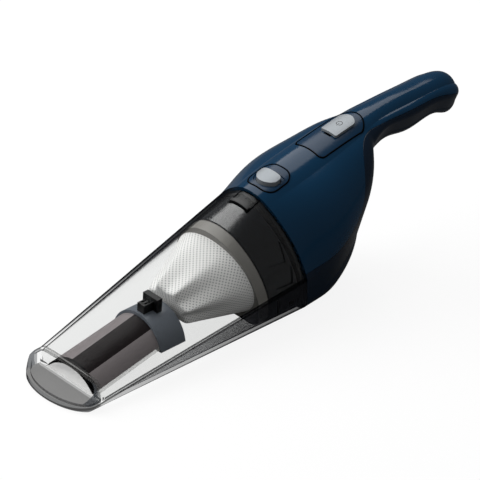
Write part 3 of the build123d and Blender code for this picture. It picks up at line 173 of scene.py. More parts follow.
def new_material(name: str) -> tuple[bpy.types.Material, bpy.types.NodeTree, bpy.types.Node]:
    """Start a material with one Principled shader at its output.

    Args:
        name: Name of the material.

    Returns:
        The material, its node tree and the shader node.
    """
    material = bpy.data.materials.new(name)
    material.use_nodes = True
    tree = material.node_tree
    tree.nodes.clear()
    shader = add(tree, Kind.PRINCIPLED)
    add(tree, Kind.SURFACE, {"Surface": shader.outputs["BSDF"]})
    return material, tree, shader


def show(tree: bpy.types.NodeTree, shader: bpy.types.Node) -> None:
    """Put another shader at a material's output."""
    output = next(node for node in tree.nodes if node.type == "OUTPUT_MATERIAL")
    tree.links.new(shader.outputs[0], output.inputs["Surface"])


@dataclass(frozen=True)
class Moulded:
    """Injection-moulded plastic: one colour with a faint mottle and the mould's fine grain."""

    name: str
    colour: str
    mottle: str
    roughness: float
    grain_mm: float = 0.9
    grain: float = 0.05
    ior: float = 1.5
    metallic: float = 0.0
    coat: float = 0.0
    mottle_mm: float = 28.0
    roughness_swing: float = 0.15
    grain_depth_mm: float = 0.2

    def material(self) -> bpy.types.Material:
        """Make the material.

        Returns:
            The finished material.
        """
        material, tree, shader = new_material(self.name)
        place = add(tree, Kind.PLACE).outputs["Object"]
        patches = add(tree, Kind.NOISE, {"Vector": place, "Scale": per_metre(self.mottle_mm),
                                         "Detail": 2.0}).outputs["Fac"]
        colour = add(tree, Kind.MIX, {SHARE: patches, COLOUR_A: linear(self.colour),
                                      COLOUR_B: linear(self.mottle)}, data_type="RGBA")
        grain = add(tree, Kind.NOISE, {"Vector": place, "Scale": per_metre(self.grain_mm),
                                       "Detail": 3.0}).outputs["Fac"]
        gloss = add(tree, Kind.RANGE, {
            "Value": grain, "To Min": self.roughness * (1 - self.roughness_swing),
            "To Max": self.roughness * (1 + self.roughness_swing)})
        bump = add(tree, Kind.BUMP, {"Height": grain, "Strength": self.grain,
                                     "Distance": self.grain_depth_mm * MM})
        shader.inputs["IOR"].default_value = self.ior
        shader.inputs["Metallic"].default_value = self.metallic
        shader.inputs["Coat Weight"].default_value = self.coat
        shader.inputs["Coat Roughness"].default_value = self.roughness
        tree.links.new(colour.outputs[COLOUR_OUT], shader.inputs["Base Color"])
        tree.links.new(gloss.outputs["Result"], shader.inputs["Roughness"])
        tree.links.new(bump.outputs["Normal"], shader.inputs["Normal"])
        return material


@dataclass(frozen=True)
class Metal:
    """Bare metal with drawn or turned lines along one axis."""

    name: str
    colour: str
    roughness: float
    line_mm: float = 0.4
    line_stretch: Point = (0.08, 1.0, 1.0)
    line_depth_mm: float = 0.1
    line_bump: float = 0.08
    roughness_range: tuple[float, float] = (0.7, 1.4)

    def material(self) -> bpy.types.Material:
        """Make the material.

        Returns:
            The finished material.
        """
        material, tree, shader = new_material(self.name)
        place = add(tree, Kind.PLACE).outputs["Object"]
        drawn = add(tree, Kind.MAPPING, {"Vector": place, "Scale": self.line_stretch})
        lines = add(tree, Kind.NOISE, {"Vector": drawn.outputs["Vector"], "Detail": 4.0,
                                       "Scale": per_metre(self.line_mm)}).outputs["Fac"]
        smooth, rough = (self.roughness * share for share in self.roughness_range)
        gloss = add(tree, Kind.RANGE, {"Value": lines, "To Min": smooth, "To Max": rough})
        bump = add(tree, Kind.BUMP, {"Height": lines, "Strength": self.line_bump,
                                     "Distance": self.line_depth_mm * MM})
        shader.inputs["Base Color"].default_value = linear(self.colour)
        shader.inputs["Metallic"].default_value = 1.0
        tree.links.new(gloss.outputs["Result"], shader.inputs["Roughness"])
        tree.links.new(bump.outputs["Normal"], shader.inputs["Normal"])
        return material


@dataclass(frozen=True)
class SmokedBowl:
    """Polished clear styrene in a grey smoke, dense at its rim and its low side strips, with
    painted shade where the wall turns edge-on and along the strips' crease, and a painted
    highlight on the mouth's lip.

    Places and widths are in millimetres, and a cover is the share of the surface that is smoke.
    A facing value is 0 seen straight on and 1 seen edge-on.
    """

    name: str = "smoked_styrene_polished"
    clear: Colour = (0.95, 0.952, 0.95, 1.0)
    # Painted shade: near-black where the wall is seen edge-on, standing in for its dark refracted
    # edge
    edge: str = "#14161A"
    edge_shade_cover: float = 0.96
    edge_shade_facing: tuple[float, float] = (0.6, 0.84)
    strip_front: str = "#56585C"
    strip_rear: str = "#3E4046"
    strip_cover: tuple[float, float] = (0.42, 0.85)
    strip_run: tuple[float, float] = (-185.0, -5.0)
    strip_fade: float = 1.5
    # Painted shade: a dark line along the crease, where the fold darkens the wall
    crease: str = "#121316"
    crease_shade_cover: float = 0.85
    crease_slope: float = 0.1689
    crease_height: float = 35.28
    crease_half: float = 1.1
    wall_level: float = 0.62
    scoop: str = "#6C6B6A"
    scoop_cover: float = 0.55
    scoop_from: float = -181.9
    rim: str = "#5A5E63"
    rim_cover: float = 0.6
    rim_from: float = -185.0
    # Painted highlight: a pale line round the mouth's edge
    lip: str = "#E6E6E5"
    lip_highlight_cover: float = 0.6
    lip_place: float = -183.0
    lip_half: float = 0.6
    lip_forward: float = -0.75
    smoke_roughness: float = 0.4
    smoke_through: float = 0.7
    gloss: float = 0.14
    gloss_facing: float = 0.42
    gloss_roughness: float = 0.2
    ripple_mm: float = 40.0
    ripple: float = 0.02
    ripple_depth: float = 0.5

    def material(self) -> bpy.types.Material:
        """Make the material.

        Returns:
            The finished material.
        """
        material, tree, smoke = new_material(self.name)
        place = add(tree, Kind.PLACE).outputs["Object"]
        facing = add(tree, Kind.LAYER_WEIGHT, {"Blend": 0.5}).outputs["Facing"]
        cover, colour = 0.0, linear(self.edge)
        for mask, share, paint in self.zones(tree, place, facing):
            cover = add(tree, Kind.MIX, {SHARE: mask, LOW: cover, HIGH: share}).outputs[VALUE_OUT]
            colour = add(tree, Kind.MIX, {SHARE: mask, COLOUR_A: colour, COLOUR_B: paint},
                         data_type="RGBA").outputs[COLOUR_OUT]
        tree.links.new(colour, smoke.inputs["Base Color"])
        smoke.inputs["Roughness"].default_value = self.smoke_roughness
        smoke.inputs["Specular IOR Level"].default_value = 0.0
        through = add(tree, Kind.TRANSLUCENT, {"Color": colour})
        haze = add(tree, Kind.MIX_SHADER, {0: self.smoke_through, 1: smoke.outputs[0],
                                           2: through.outputs[0]})
        glass = self.glass(tree, place, facing)
        show(tree, add(tree, Kind.MIX_SHADER, {0: cover, 1: glass.outputs[0], 2: haze.outputs[0]}))
        return material

    def zones(self, tree: bpy.types.NodeTree, place: bpy.types.NodeSocket,
              facing: bpy.types.NodeSocket) -> list[Zone]:
        """Parts of the bowl that have a smoke of their own.

        Args:
            tree: Node tree to add to.
            place: Place on the bowl.
            facing: How far the surface turns from the view.

        Returns:
            The zones, each laid over those before it.
        """
        axes = add(tree, Kind.SPLIT, {0: place}).outputs
        face = add(tree, Kind.GEOMETRY).outputs["Normal"]
        normal = add(tree, Kind.SPLIT, {0: face}).outputs
        level = add(tree, Kind.MATH, {0: normal["Z"]}, operation="ABSOLUTE").outputs[0]
        wall = add(tree, Kind.MATH, {0: level, 1: self.wall_level},
                   operation="LESS_THAN").outputs[0]
        # Smoke shows only on a side that turns outwards: from within, the far strip stays clear
        outward = add(tree, Kind.MATH, {0: axes["Y"], 1: normal["Y"]},
                      operation="MULTIPLY").outputs[0]
        outer = add(tree, Kind.MATH, {0: outward, 1: 0.0}, operation="GREATER_THAN").outputs[0]
        side = add(tree, Kind.MATH, {0: outer, 1: wall}, operation="MULTIPLY").outputs[0]
        strip, crease = self.side_zones(tree, place, axes["X"], side)
        nose = self.nose_zones(tree, axes["X"], normal["X"], wall)
        # Painted shade where the wall turns edge-on
        start, full = self.edge_shade_facing
        graze_shade = add(tree, Kind.RANGE, {"Value": facing, "From Min": start, "From Max": full},
                    interpolation_type="SMOOTHSTEP").outputs[0]
        return [strip, *nose, crease, (graze_shade, self.edge_shade_cover, linear(self.edge))]

    def side_zones(self, tree: bpy.types.NodeTree, place: bpy.types.NodeSocket,
                   length: bpy.types.NodeSocket, side: bpy.types.NodeSocket) -> tuple[Zone, Zone]:
        """Low strips, which darken towards the joint, and the painted shade line along their
        crease.

        Args:
            tree: Node tree to add to.
            place: Place on the bowl.
            length: Place along the bowl.
            side: One on its outward sides.

        Returns:
            The strips and the crease.
        """
        # Height above the crease's own slope: the strips lie below it
        height = add(tree, Kind.VECTOR_MATH, {0: place, 1: (-self.crease_slope, 0.0, 1.0)},
                     operation="DOT_PRODUCT").outputs["Value"]
        top, half = self.crease_height * MM, self.crease_half * MM
        low = add(tree, Kind.MATH, {0: height, 1: top}, operation="LESS_THAN").outputs[0]
        strip = add(tree, Kind.MATH, {0: low, 1: side}, operation="MULTIPLY").outputs[0]
        # Painted shade in a thin line along the crease
        fold = add(tree, Kind.MATH, {0: height, 1: top, 2: half}, operation="COMPARE").outputs[0]
        crease = add(tree, Kind.MATH, {0: fold, 1: side}, operation="MULTIPLY").outputs[0]
        front, rear = (x * MM for x in self.strip_run)
        along = add(tree, Kind.RANGE, {"Value": length, "From Min": front,
                                       "From Max": rear}).outputs[0]
        deep = add(tree, Kind.MATH, {0: along, 1: self.strip_fade}, operation="POWER").outputs[0]
        hue = add(tree, Kind.MIX, {SHARE: along, COLOUR_A: linear(self.strip_front),
                                   COLOUR_B: linear(self.strip_rear)}, data_type="RGBA")
        thin, thick = self.strip_cover
        cover = add(tree, Kind.MIX, {SHARE: deep, LOW: thin, HIGH: thick})
        return ((strip, cover.outputs[VALUE_OUT], hue.outputs[COLOUR_OUT]),
                (crease, self.crease_shade_cover, linear(self.crease)))

    def nose_zones(self, tree: bpy.types.NodeTree, length: bpy.types.NodeSocket,
                   forward: bpy.types.NodeSocket, wall: bpy.types.NodeSocket) -> list[Zone]:
        """Scoop, rim and the painted highlight on the lip of the mouth.

        Args:
            tree: Node tree to add to.
            length: Place along the bowl.
            forward: The surface normal's part along the bowl.
            wall: One on steep faces.

        Returns:
            The three zones.
        """
        flat = add(tree, Kind.MATH, {0: 1.0, 1: wall}, operation="SUBTRACT").outputs[0]
        ahead = add(tree, Kind.MATH, {0: length, 1: self.scoop_from * MM},
                    operation="LESS_THAN").outputs[0]
        scoop = add(tree, Kind.MATH, {0: ahead, 1: flat}, operation="MULTIPLY").outputs[0]
        nose = add(tree, Kind.MATH, {0: length, 1: self.rim_from * MM},
                   operation="LESS_THAN").outputs[0]
        rim = add(tree, Kind.MATH, {0: nose, 1: wall}, operation="MULTIPLY").outputs[0]
        # Pale line round the mouth's edge: a painted highlight
        across = add(tree, Kind.MATH, {0: forward, 1: self.lip_forward},
                     operation="LESS_THAN").outputs[0]
        mouth = add(tree, Kind.MATH, {0: length, 1: self.lip_place * MM, 2: self.lip_half * MM},
                    operation="COMPARE").outputs[0]
        lip = add(tree, Kind.MATH, {0: across, 1: mouth}, operation="MULTIPLY").outputs[0]
        return [(scoop, self.scoop_cover, linear(self.scoop)),
                (rim, self.rim_cover, linear(self.rim)), (lip, self.lip_highlight_cover, linear(self.lip))]

    def glass(self, tree: bpy.types.NodeTree, place: bpy.types.NodeSocket,
              facing: bpy.types.NodeSocket) -> bpy.types.Node:
        """Clear wall that gains a soft gloss as it turns from the view.

        Args:
            tree: Node tree to add to.
            place: Place on the bowl.
            facing: How far the surface turns from the view.

        Returns:
            The shader node.
        """
        share = add(tree, Kind.RANGE, {"Value": facing, "From Min": self.gloss_facing,
                                       "To Max": self.gloss}, interpolation_type="SMOOTHSTEP")
        ripple = add(tree, Kind.NOISE, {"Vector": place, "Scale": per_metre(self.ripple_mm),
                                        "Detail": 1.0})
        bump = add(tree, Kind.BUMP, {"Height": ripple.outputs["Fac"], "Strength": self.ripple,
                                     "Distance": self.ripple_depth * MM})
        polish = add(tree, Kind.GLOSSY, {"Roughness": self.gloss_roughness,
                                         "Normal": bump.outputs["Normal"]})
        window = add(tree, Kind.TRANSPARENT, {"Color": self.clear})
        return add(tree, Kind.MIX_SHADER, {0: share.outputs[0], 1: window.outputs[0],
                                           2: polish.outputs[0]})


@dataclass(frozen=True)
class SmokedDuct:
    """Darker smoked moulding with a painted dark reflection along its crown, painted shade at its
    front edge and painted light on its floor.

    Places and sizes are in millimetres.
    """

    name: str = "smoked_styrene_moulded"
    smoke: str = "#7E7879"
    smoke_cover: float = 1.0
    # Painted reflection: a dark band along the crown
    stripe: str = "#1B1617"
    dark_reflection_run: tuple[float, float] = (-13.5, 4.0)
    # Painted shade: the rolled front edge is painted near-black
    lip: str = "#08080A"
    lip_shade_to: float = -177.0
    # Painted light: the floor is painted pale and half clear, as light coming through it from
    # below
    floor: str = "#F2F1EF"
    floor_light_cover: float = 0.3
    floor_front: tuple[float, float] = (-182.0, 2.7)
    floor_rise: float = 11.8 / 66.5
    floor_thick: float = 2.3
    roughness: float = 0.4
    shine: float = 0.15
    grain_mm: float = 9.0
    grain: float = 0.03
    grain_depth: float = 0.3

    def material(self) -> bpy.types.Material:
        """Make the material.

        Returns:
            The finished material.
        """
        material, tree, shader = new_material(self.name)
        place = add(tree, Kind.PLACE).outputs["Object"]
        axes = add(tree, Kind.SPLIT, {0: place}).outputs
        # Band along the crown painted dark, as a reflection
        left, right = (y * MM for y in self.dark_reflection_run)
        crown_reflection = add(tree, Kind.MATH, {0: axes["Y"], 1: (left + right) / 2, 2: (right - left) / 2},
                    operation="COMPARE").outputs[0]
        # Front edge painted near-black as shade
        lip = add(tree, Kind.MATH, {0: axes["X"], 1: self.lip_shade_to * MM},
                  operation="LESS_THAN").outputs[0]
        # Height above the slope of the duct's rising floor
        height = add(tree, Kind.VECTOR_MATH, {0: place, 1: (-self.floor_rise, 0.0, 1.0)},
                     operation="DOT_PRODUCT").outputs["Value"]
        front, foot = self.floor_front
        level = foot - front * self.floor_rise + self.floor_thick
        # Floor painted pale as the light that comes through it
        floor = add(tree, Kind.MATH, {0: height, 1: level * MM}, operation="LESS_THAN").outputs[0]
        colour = linear(self.smoke)
        for mask, paint in ((crown_reflection, self.stripe), (lip, self.lip), (floor, self.floor)):
            colour = add(tree, Kind.MIX, {SHARE: mask, COLOUR_A: colour, COLOUR_B: linear(paint)},
                         data_type="RGBA").outputs[COLOUR_OUT]
        cover = add(tree, Kind.MIX, {SHARE: floor, LOW: self.smoke_cover, HIGH: self.floor_light_cover})
        grain = add(tree, Kind.NOISE, {"Vector": place, "Scale": per_metre(self.grain_mm),
                                       "Detail": 2.0})
        bump = add(tree, Kind.BUMP, {"Height": grain.outputs["Fac"], "Strength": self.grain,
                                     "Distance": self.grain_depth * MM})
        shader.inputs["Roughness"].default_value = self.roughness
        shader.inputs["Specular IOR Level"].default_value = self.shine
        tree.links.new(colour, shader.inputs["Base Color"])
        tree.links.new(cover.outputs[VALUE_OUT], shader.inputs["Alpha"])
        tree.links.new(bump.outputs["Normal"], shader.inputs["Normal"])
        return material


@dataclass(frozen=True)
class DottedFelt:
    """Needled felt, moulded in pleats and pierced by slanting rows of small holes."""

    name: str = "needled_felt_pierced"
    colour: str = "#EDECEA"
    shade: str = "#DDDDDC"
    hole: str = "#85888A"
    pitch_mm: float = 2.15
    row_turn: float = 45.0
    hole_edge: tuple[float, float] = (0.27, 0.17)
    fibre_mm: float = 0.7
    nap: float = 0.3
    nap_depth_mm: float = 0.4
    roughness: float = 0.92
    sheen: float = 0.1

    def material(self) -> bpy.types.Material:
        """Make the material.

        Returns:
            The finished material.
        """
        material, tree, shader = new_material(self.name)
        coords = add(tree, Kind.PLACE).outputs
        turned = add(tree, Kind.MAPPING, {
            "Vector": coords["UV"], "Rotation": (0.0, 0.0, math.radians(self.row_turn))})
        rows = add(tree, Kind.VORONOI, {"Vector": turned.outputs["Vector"], "Randomness": 0.0,
                                        "Scale": 1 / self.pitch_mm}, voronoi_dimensions="2D")
        outer, inner = self.hole_edge
        holes = add(tree, Kind.RANGE, {"Value": rows.outputs["Distance"], "From Min": outer,
                                       "From Max": inner}).outputs["Result"]
        fibres = add(tree, Kind.NOISE, {"Vector": coords["Object"], "Detail": 4.0,
                                        "Scale": per_metre(self.fibre_mm)}).outputs["Fac"]
        nap = add(tree, Kind.MIX, {SHARE: fibres, COLOUR_A: linear(self.colour),
                                   COLOUR_B: linear(self.shade)}, data_type="RGBA")
        colour = add(tree, Kind.MIX, {SHARE: holes, COLOUR_A: nap.outputs[COLOUR_OUT],
                                      COLOUR_B: linear(self.hole)}, data_type="RGBA")
        height = add(tree, Kind.MATH, {0: fibres, 1: holes}, operation="SUBTRACT")
        bump = add(tree, Kind.BUMP, {"Height": height.outputs["Value"], "Strength": self.nap,
                                     "Distance": self.nap_depth_mm * MM})
        shader.inputs["Roughness"].default_value = self.roughness
        shader.inputs["Sheen Weight"].default_value = self.sheen
        tree.links.new(colour.outputs[COLOUR_OUT], shader.inputs["Base Color"])
        tree.links.new(bump.outputs["Normal"], shader.inputs["Normal"])
        return material


# Glossy navy ABS: a deep blue that shows the lamps as soft bright panels
NAVY = Moulded("abs_navy_polished", "#0A2E48", "#092B43", 0.14, grain=0.015, ior=1.36)
# The same navy from a mould with a fine spark texture: darker, with a broad dull gleam
DEEP_NAVY = Moulded("abs_navy_satin", "#0A2A43", "#09273E", 0.24, grain=0.05, ior=1.36)
# Navy ABS of the lower shell, painted darker as the shade under its own curve: almost black
SHADED_NAVY = Moulded("abs_navy_painted_shade", "#071A2C", "#061727", 0.3, grain=0.05, ior=1.36)
# Black glass-filled nylon: a soft, quiet shine
BLACK = Moulded("nylon_black_moulded", "#07080B", "#050608", 0.34, grain=0.1)
# Black ABS of the skirt, polished: a black that takes a pale sheen on its top
SKIRT = Moulded("abs_black_polished", "#0A0F16", "#080C12", 0.24, grain=0.03, ior=1.8, coat=1.0)
# Matt black bead in the seams, painted shade of the gaps: no shine at all
SEAM_SHADE = Moulded("seam_painted_shade_matt", "#020305", "#010203", 0.95, grain=0.1, ior=1.15)
# Slate ABS, satin: flat grey-blue with a broad dull highlight
SLATE = Moulded("abs_slate_satin", "#666C74", "#5E646C", 0.3, grain=0.06)
# Warm grey polypropylene: pale and slightly waxy
GREY = Moulded("polypropylene_grey_moulded", "#84827E", "#7B7975", 0.45, grain=0.08, ior=1.49)
# ABS painted silver: flake gives a soft metallic sweep
SILVER = Moulded("abs_silver_painted", "#868B8F", "#898E92", 0.36, grain=0.05, metallic=0.5)
# Nitrile rubber: matt black with a dusty grain
RUBBER = Moulded("nitrile_rubber_matt", "#1A1A1C", "#202023", 0.75, grain=0.2, ior=1.52)
# Shrunk vinyl sleeve on the cell: bright blue, slightly wrinkled
SLEEVE = Moulded("vinyl_sleeve_shrunk", "#2C6BA8", "#28619A", 0.3, grain_mm=3.0, grain=0.15)
# Glass-epoxy board under solder mask: an even leaf green
BOARD = Moulded("glass_epoxy_masked", "#1E5B3A", "#1A5034", 0.35, grain_mm=0.6, grain=0.1)
# Sintered ferrite: dark grey, powdery
FERRITE = Moulded("ferrite_sintered", "#3A3B3E", "#333437", 0.7, grain=0.25)
# Drawn steel: cool grey, with fine lines that stretch each highlight
STEEL = Metal("steel_drawn", "#B9BCC0", 0.3)
# Rolled nickel strip: paler and brighter than the steel
NICKEL = Metal("nickel_strip_rolled", "#C9CACB", 0.24)
# Sintered bronze: a dull warm brown
BRONZE = Metal("bronze_sintered", "#A5793F", 0.42)
# Smoked styrene, polished: clear in the middle, with grey strips, painted shade along its outlines
# and crease, and a painted highlight on its lip
BOWL = SmokedBowl()
# Smoked styrene, moulded: a brownish grey half-round with a painted dark reflection along its
# crown, painted shade at its front edge and painted light on its floor
DUCT = SmokedDuct()
# Needled felt: matt white with a fine lattice of holes
FELT = DottedFelt()

FINISHES: dict[str, Finish] = {
    "dust_bowl": BOWL, "inlet_duct": DUCT, "flap_frame": SLATE, "flap_clip": BLACK,
    "flap_door": BLACK, "flap_pin": STEEL, "filter_frame": GREY, "filter_fabric": FELT,
    "filter_seal": RUBBER, "upper_housing": NAVY, "lower_housing": SHADED_NAVY,
    "intake_spigot": SKIRT, "intake_grille": BLACK, "spigot_screws": STEEL,
    "bowl_gasket": RUBBER, "exhaust_grille": BLACK, "release_bezel": DEEP_NAVY,
    "release_button": SILVER, "release_latch": BLACK, "release_spring": STEEL,
    "switch_bezel": DEEP_NAVY, "power_slider": SILVER, "slider_carrier": BLACK,
    "slide_switch": BLACK, "handle_screws": STEEL, "fan_shroud": BLACK, "fan_impeller": GREY,
    "motor_can": STEEL, "motor_magnets": FERRITE, "motor_endbell": BLACK, "motor_bushes": BRONZE,
    "motor_mount": RUBBER, "motor_shaft": STEEL, "motor_armature": FERRITE,
    "battery_cell": SLEEVE, "battery_cradle": BLACK, "battery_tabs": NICKEL,
    "charge_board": BOARD, "charge_jack": BLACK,
}


class Paintbox:
    """Makes each finish's material once and hands it out."""

    def __init__(self) -> None:
        """Start with no materials made."""
        self._made: dict[str, bpy.types.Material] = {}

    def get(self, finish: Finish) -> bpy.types.Material:
        """Hand out the material of a finish, made on first use.

        Args:
            finish: The finish.

        Returns:
            Its material.
        """
        if finish.name not in self._made:
            self._made[finish.name] = finish.material()
        return self._made[finish.name]

    def paint(self, piece: bpy.types.Object, finish: Finish) -> None:
        """Give a piece one finish all over."""
        piece.data.materials.clear()
        piece.data.materials.append(self.get(finish))


def clear_selection() -> None:
    """Leave object mode with nothing selected."""
    if bpy.context.object and bpy.context.object.mode != "OBJECT":
        bpy.ops.object.mode_set(mode="OBJECT")
    bpy.ops.object.select_all(action="DESELECT")


def merged_copy(node: str, name: str) -> bpy.types.Object:
    """Copy a CAD node's mesh into a new object and merge its loose corners.

    Args:
        node: CAD node to copy.
        name: Name of the new object.

    Returns:
        The copy, selected and active.
    """
    clear_selection()
    piece = bpy.data.objects.new(name, frame["nodes"][node].data.copy())
    bpy.context.scene.collection.objects.link(piece)
    piece.select_set(True)
    bpy.context.view_layer.objects.active = piece
    bpy.ops.object.mode_set(mode="EDIT")
    bpy.ops.mesh.select_all(action="SELECT")
    bpy.ops.mesh.remove_doubles(threshold=CAD_WELD)
    bpy.ops.object.mode_set(mode="OBJECT")
    return piece


def lay_on(piece: bpy.types.Object, node: str, fall: Vector, proud_mm: float) -> None:
    """Drop a flat piece's points onto a CAD node.

    Args:
        piece: Flat mesh outside the node.
        node: CAD node that carries it.
        fall: Direction of the drop.
        proud_mm: Height left above the node's surface.
    """
    tree = BVHTree.FromObject(frame["nodes"][node], bpy.context.evaluated_depsgraph_get())
    for vertex in piece.data.vertices:
        hit = tree.ray_cast(vertex.co, fall)[0]
        if hit is not None:
            vertex.co = hit - fall * proud_mm * MM


def finish_piece(piece: bpy.types.Object, name: str, body: str) -> None:
    """Put a new piece's place into its mesh and join it to the frame.

    Args:
        piece: The modelled object.
        name: Its name.
        body: CAD body that it moves with.
    """
    piece.name = name
    piece.data.name = name
    clear_selection()
    piece.select_set(True)
    bpy.context.view_layer.objects.active = piece
    bpy.ops.object.transform_apply(location=True, rotation=True, scale=True)
    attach(piece, body)
    LOG.info("%s rides on %s, %d faces", name, body, len(piece.data.polygons))


@dataclass
class CadDress:
    """The carried-over solids and the finish of each."""

    finishes: dict[str, Finish] = field(default_factory=lambda: dict(FINISHES))

    def dress(self, paints: Paintbox) -> None:
        """Paint every CAD node.

        Args:
            paints: Where the materials come from.
        """
        for name, node in frame["nodes"].items():
            paints.paint(node, self.finishes[name])
            LOG.info("%s: %s", name, self.finishes[name].name)


@dataclass
class PleatedFilter:
    """Tapered felt cup whose folds deepen from its smooth rear to a star at the front.

    Sizes are in millimetres. An end is its place, middle height, half width and half height.
    """

    pleats: int = 7
    pleat: float = 0.3
    rear: tuple[float, float, float, float] = (-31.6, 37.0, 39.5, 31.5)
    front: tuple[float, float, float, float] = (-81.6, 29.0, 21.5, 16.0)
    felt: float = 1.6
    swell: float = 0.45
    swell_by: float = 0.25
    crease: float = 0.1
    crease_steps: tuple[int, ...] = (-2, -1, 0, 1, 2)
    corner: float = 2.5
    corner_rows: int = 5
    flat_from: float = 0.375
    around: int = 196
    rows: int = 34
    cap_rows: int = 10
    smooth_degrees: float = 50.0

    def ring(self, end: tuple[float, float, float, float], turn: float, reach: float) -> Vector:
        """Point of the rear or the front ring, which lie in leaning planes.

        Args:
            end: The ring's place and size.
            turn: Angle round it.
            reach: Share of its size.

        Returns:
            The point.
        """
        place, middle, half, tall = end
        z = middle + tall * reach * math.sin(turn)
        return Vector((place - LEAN * z, half * reach * math.cos(turn), z))

    def fold(self, turn: float) -> Vector:
        """Point of the front ring on the straight run between a ridge and a valley.

        Args:
            turn: Angle round it.

        Returns:
            The point.
        """
        step = math.pi / self.pleats
        count, part = divmod((turn - math.pi / 2) / step, 1.0)
        start = math.pi / 2 + count * step
        inner = 1 - self.pleat
        reach = (inner, 1.0) if int(count) % 2 == 0 else (1.0, inner)
        first = self.ring(self.front, start, reach[0])
        return first.lerp(self.ring(self.front, start + step, reach[1]), part)

    def point(self, turn: float, share: float, size: float) -> Vector:
        """Place on the cup, with its creases softened and the felt a little swollen.

        Args:
            turn: Share of the way round.
            share: Share of the way from rear to front.
            size: Share of the section's size, below one on the front.

        Returns:
            The point in millimetres.
        """
        angle = 2 * math.pi * turn
        soft = self.crease * math.pi / self.pleats
        folds = (self.fold(angle + soft * step) for step in self.crease_steps)
        star = sum(folds, Vector()) / len(self.crease_steps)
        at = self.ring(self.rear, angle, 1.0).lerp(star, share)
        middle = self.ring(self.rear, 0.0, 0.0).lerp(self.ring(self.front, 0.0, 0.0), share)
        spoke = at - middle
        spoke *= (1 + self.swell * min(1.0, share / self.swell_by) / spoke.length) * size
        return middle + spoke

    def path(self) -> list[tuple[float, float]]:
        """Run of the felt from the frame round the front corner to the middle.

        Returns:
            Share of the length and share of the section's size at each row.
        """
        turn = self.corner / (self.rear[0] - self.front[0])
        shrink = self.corner / self.front[2]
        run = [((1 - turn) * i / self.rows, 1.0) for i in range(self.rows + 1)]
        for i in range(1, self.corner_rows + 1):
            angle = math.radians(90 * i / self.corner_rows)
            run.append((1 - turn + turn * math.sin(angle), 1 - shrink + shrink * math.cos(angle)))
        edge = run[-1][1]
        cap = [(1.0, edge * (1 - i / self.cap_rows)) for i in range(1, self.cap_rows + 1)]
        return run + cap

    def girth(self, share: float, size: float) -> float:
        """Way round the cup at a row, in millimetres."""
        half, tall = (a + (b - a) * share for a, b in zip(self.rear[2:], self.front[2:]))
        return math.pi * (half + tall) * size

    def wrap(self, mesh: bpy.types.Mesh, run: list[tuple[float, float]]) -> None:
        """Bend a flat square grid into the cup, with its rows laid out flat as its UVs.

        Args:
            mesh: The grid's mesh.
            run: Where each of its rows lies.
        """
        last = len(run) - 1
        spots = [(round((v.co.x + 0.5) * self.around), round((v.co.y + 0.5) * last))
                 for v in mesh.vertices]
        middles = [self.point(self.flat_from, *row) for row in run]
        lengths = [0.0]
        for a, b in zip(middles, middles[1:]):
            lengths.append(lengths[-1] + (b - a).length)
        flat = mesh.uv_layers.active.data
        for loop in mesh.loops:
            column, row = spots[loop.vertex_index]
            across = (column / self.around - self.flat_from) * self.girth(*run[row])
            flat[loop.index].uv = (across, lengths[row])
        for vertex, (column, row) in zip(mesh.vertices, spots):
            vertex.co = self.point(column / self.around, *run[row]) * MM

    def build(self, paints: Paintbox) -> bpy.types.Object:
        """Model the cup from a grid wrapped round and closed at the front.

        Args:
            paints: Where the felt's material comes from.

        Returns:
            The finished piece, which stands for the CAD felt.
        """
        run = self.path()
        clear_selection()
        bpy.ops.mesh.primitive_grid_add(x_subdivisions=self.around, y_subdivisions=len(run) - 1,
                                        size=1.0)
        piece = bpy.context.object
        self.wrap(piece.data, run)
        bpy.ops.object.mode_set(mode="EDIT")
        bpy.ops.mesh.select_all(action="SELECT")
        bpy.ops.mesh.remove_doubles(threshold=WELD)
        bpy.ops.mesh.normals_make_consistent(inside=False)
        bpy.ops.object.mode_set(mode="OBJECT")
        wall = piece.modifiers.new("wall", "SOLIDIFY")
        wall.thickness = self.felt * MM
        wall.offset = -1.0
        bpy.ops.object.modifier_apply(modifier="wall")
        bpy.ops.object.shade_smooth_by_angle(angle=math.radians(self.smooth_degrees))
        finish_piece(piece, "filter_felt", "filter")
        paints.paint(piece, FELT)
        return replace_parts(piece, "filter_fabric")


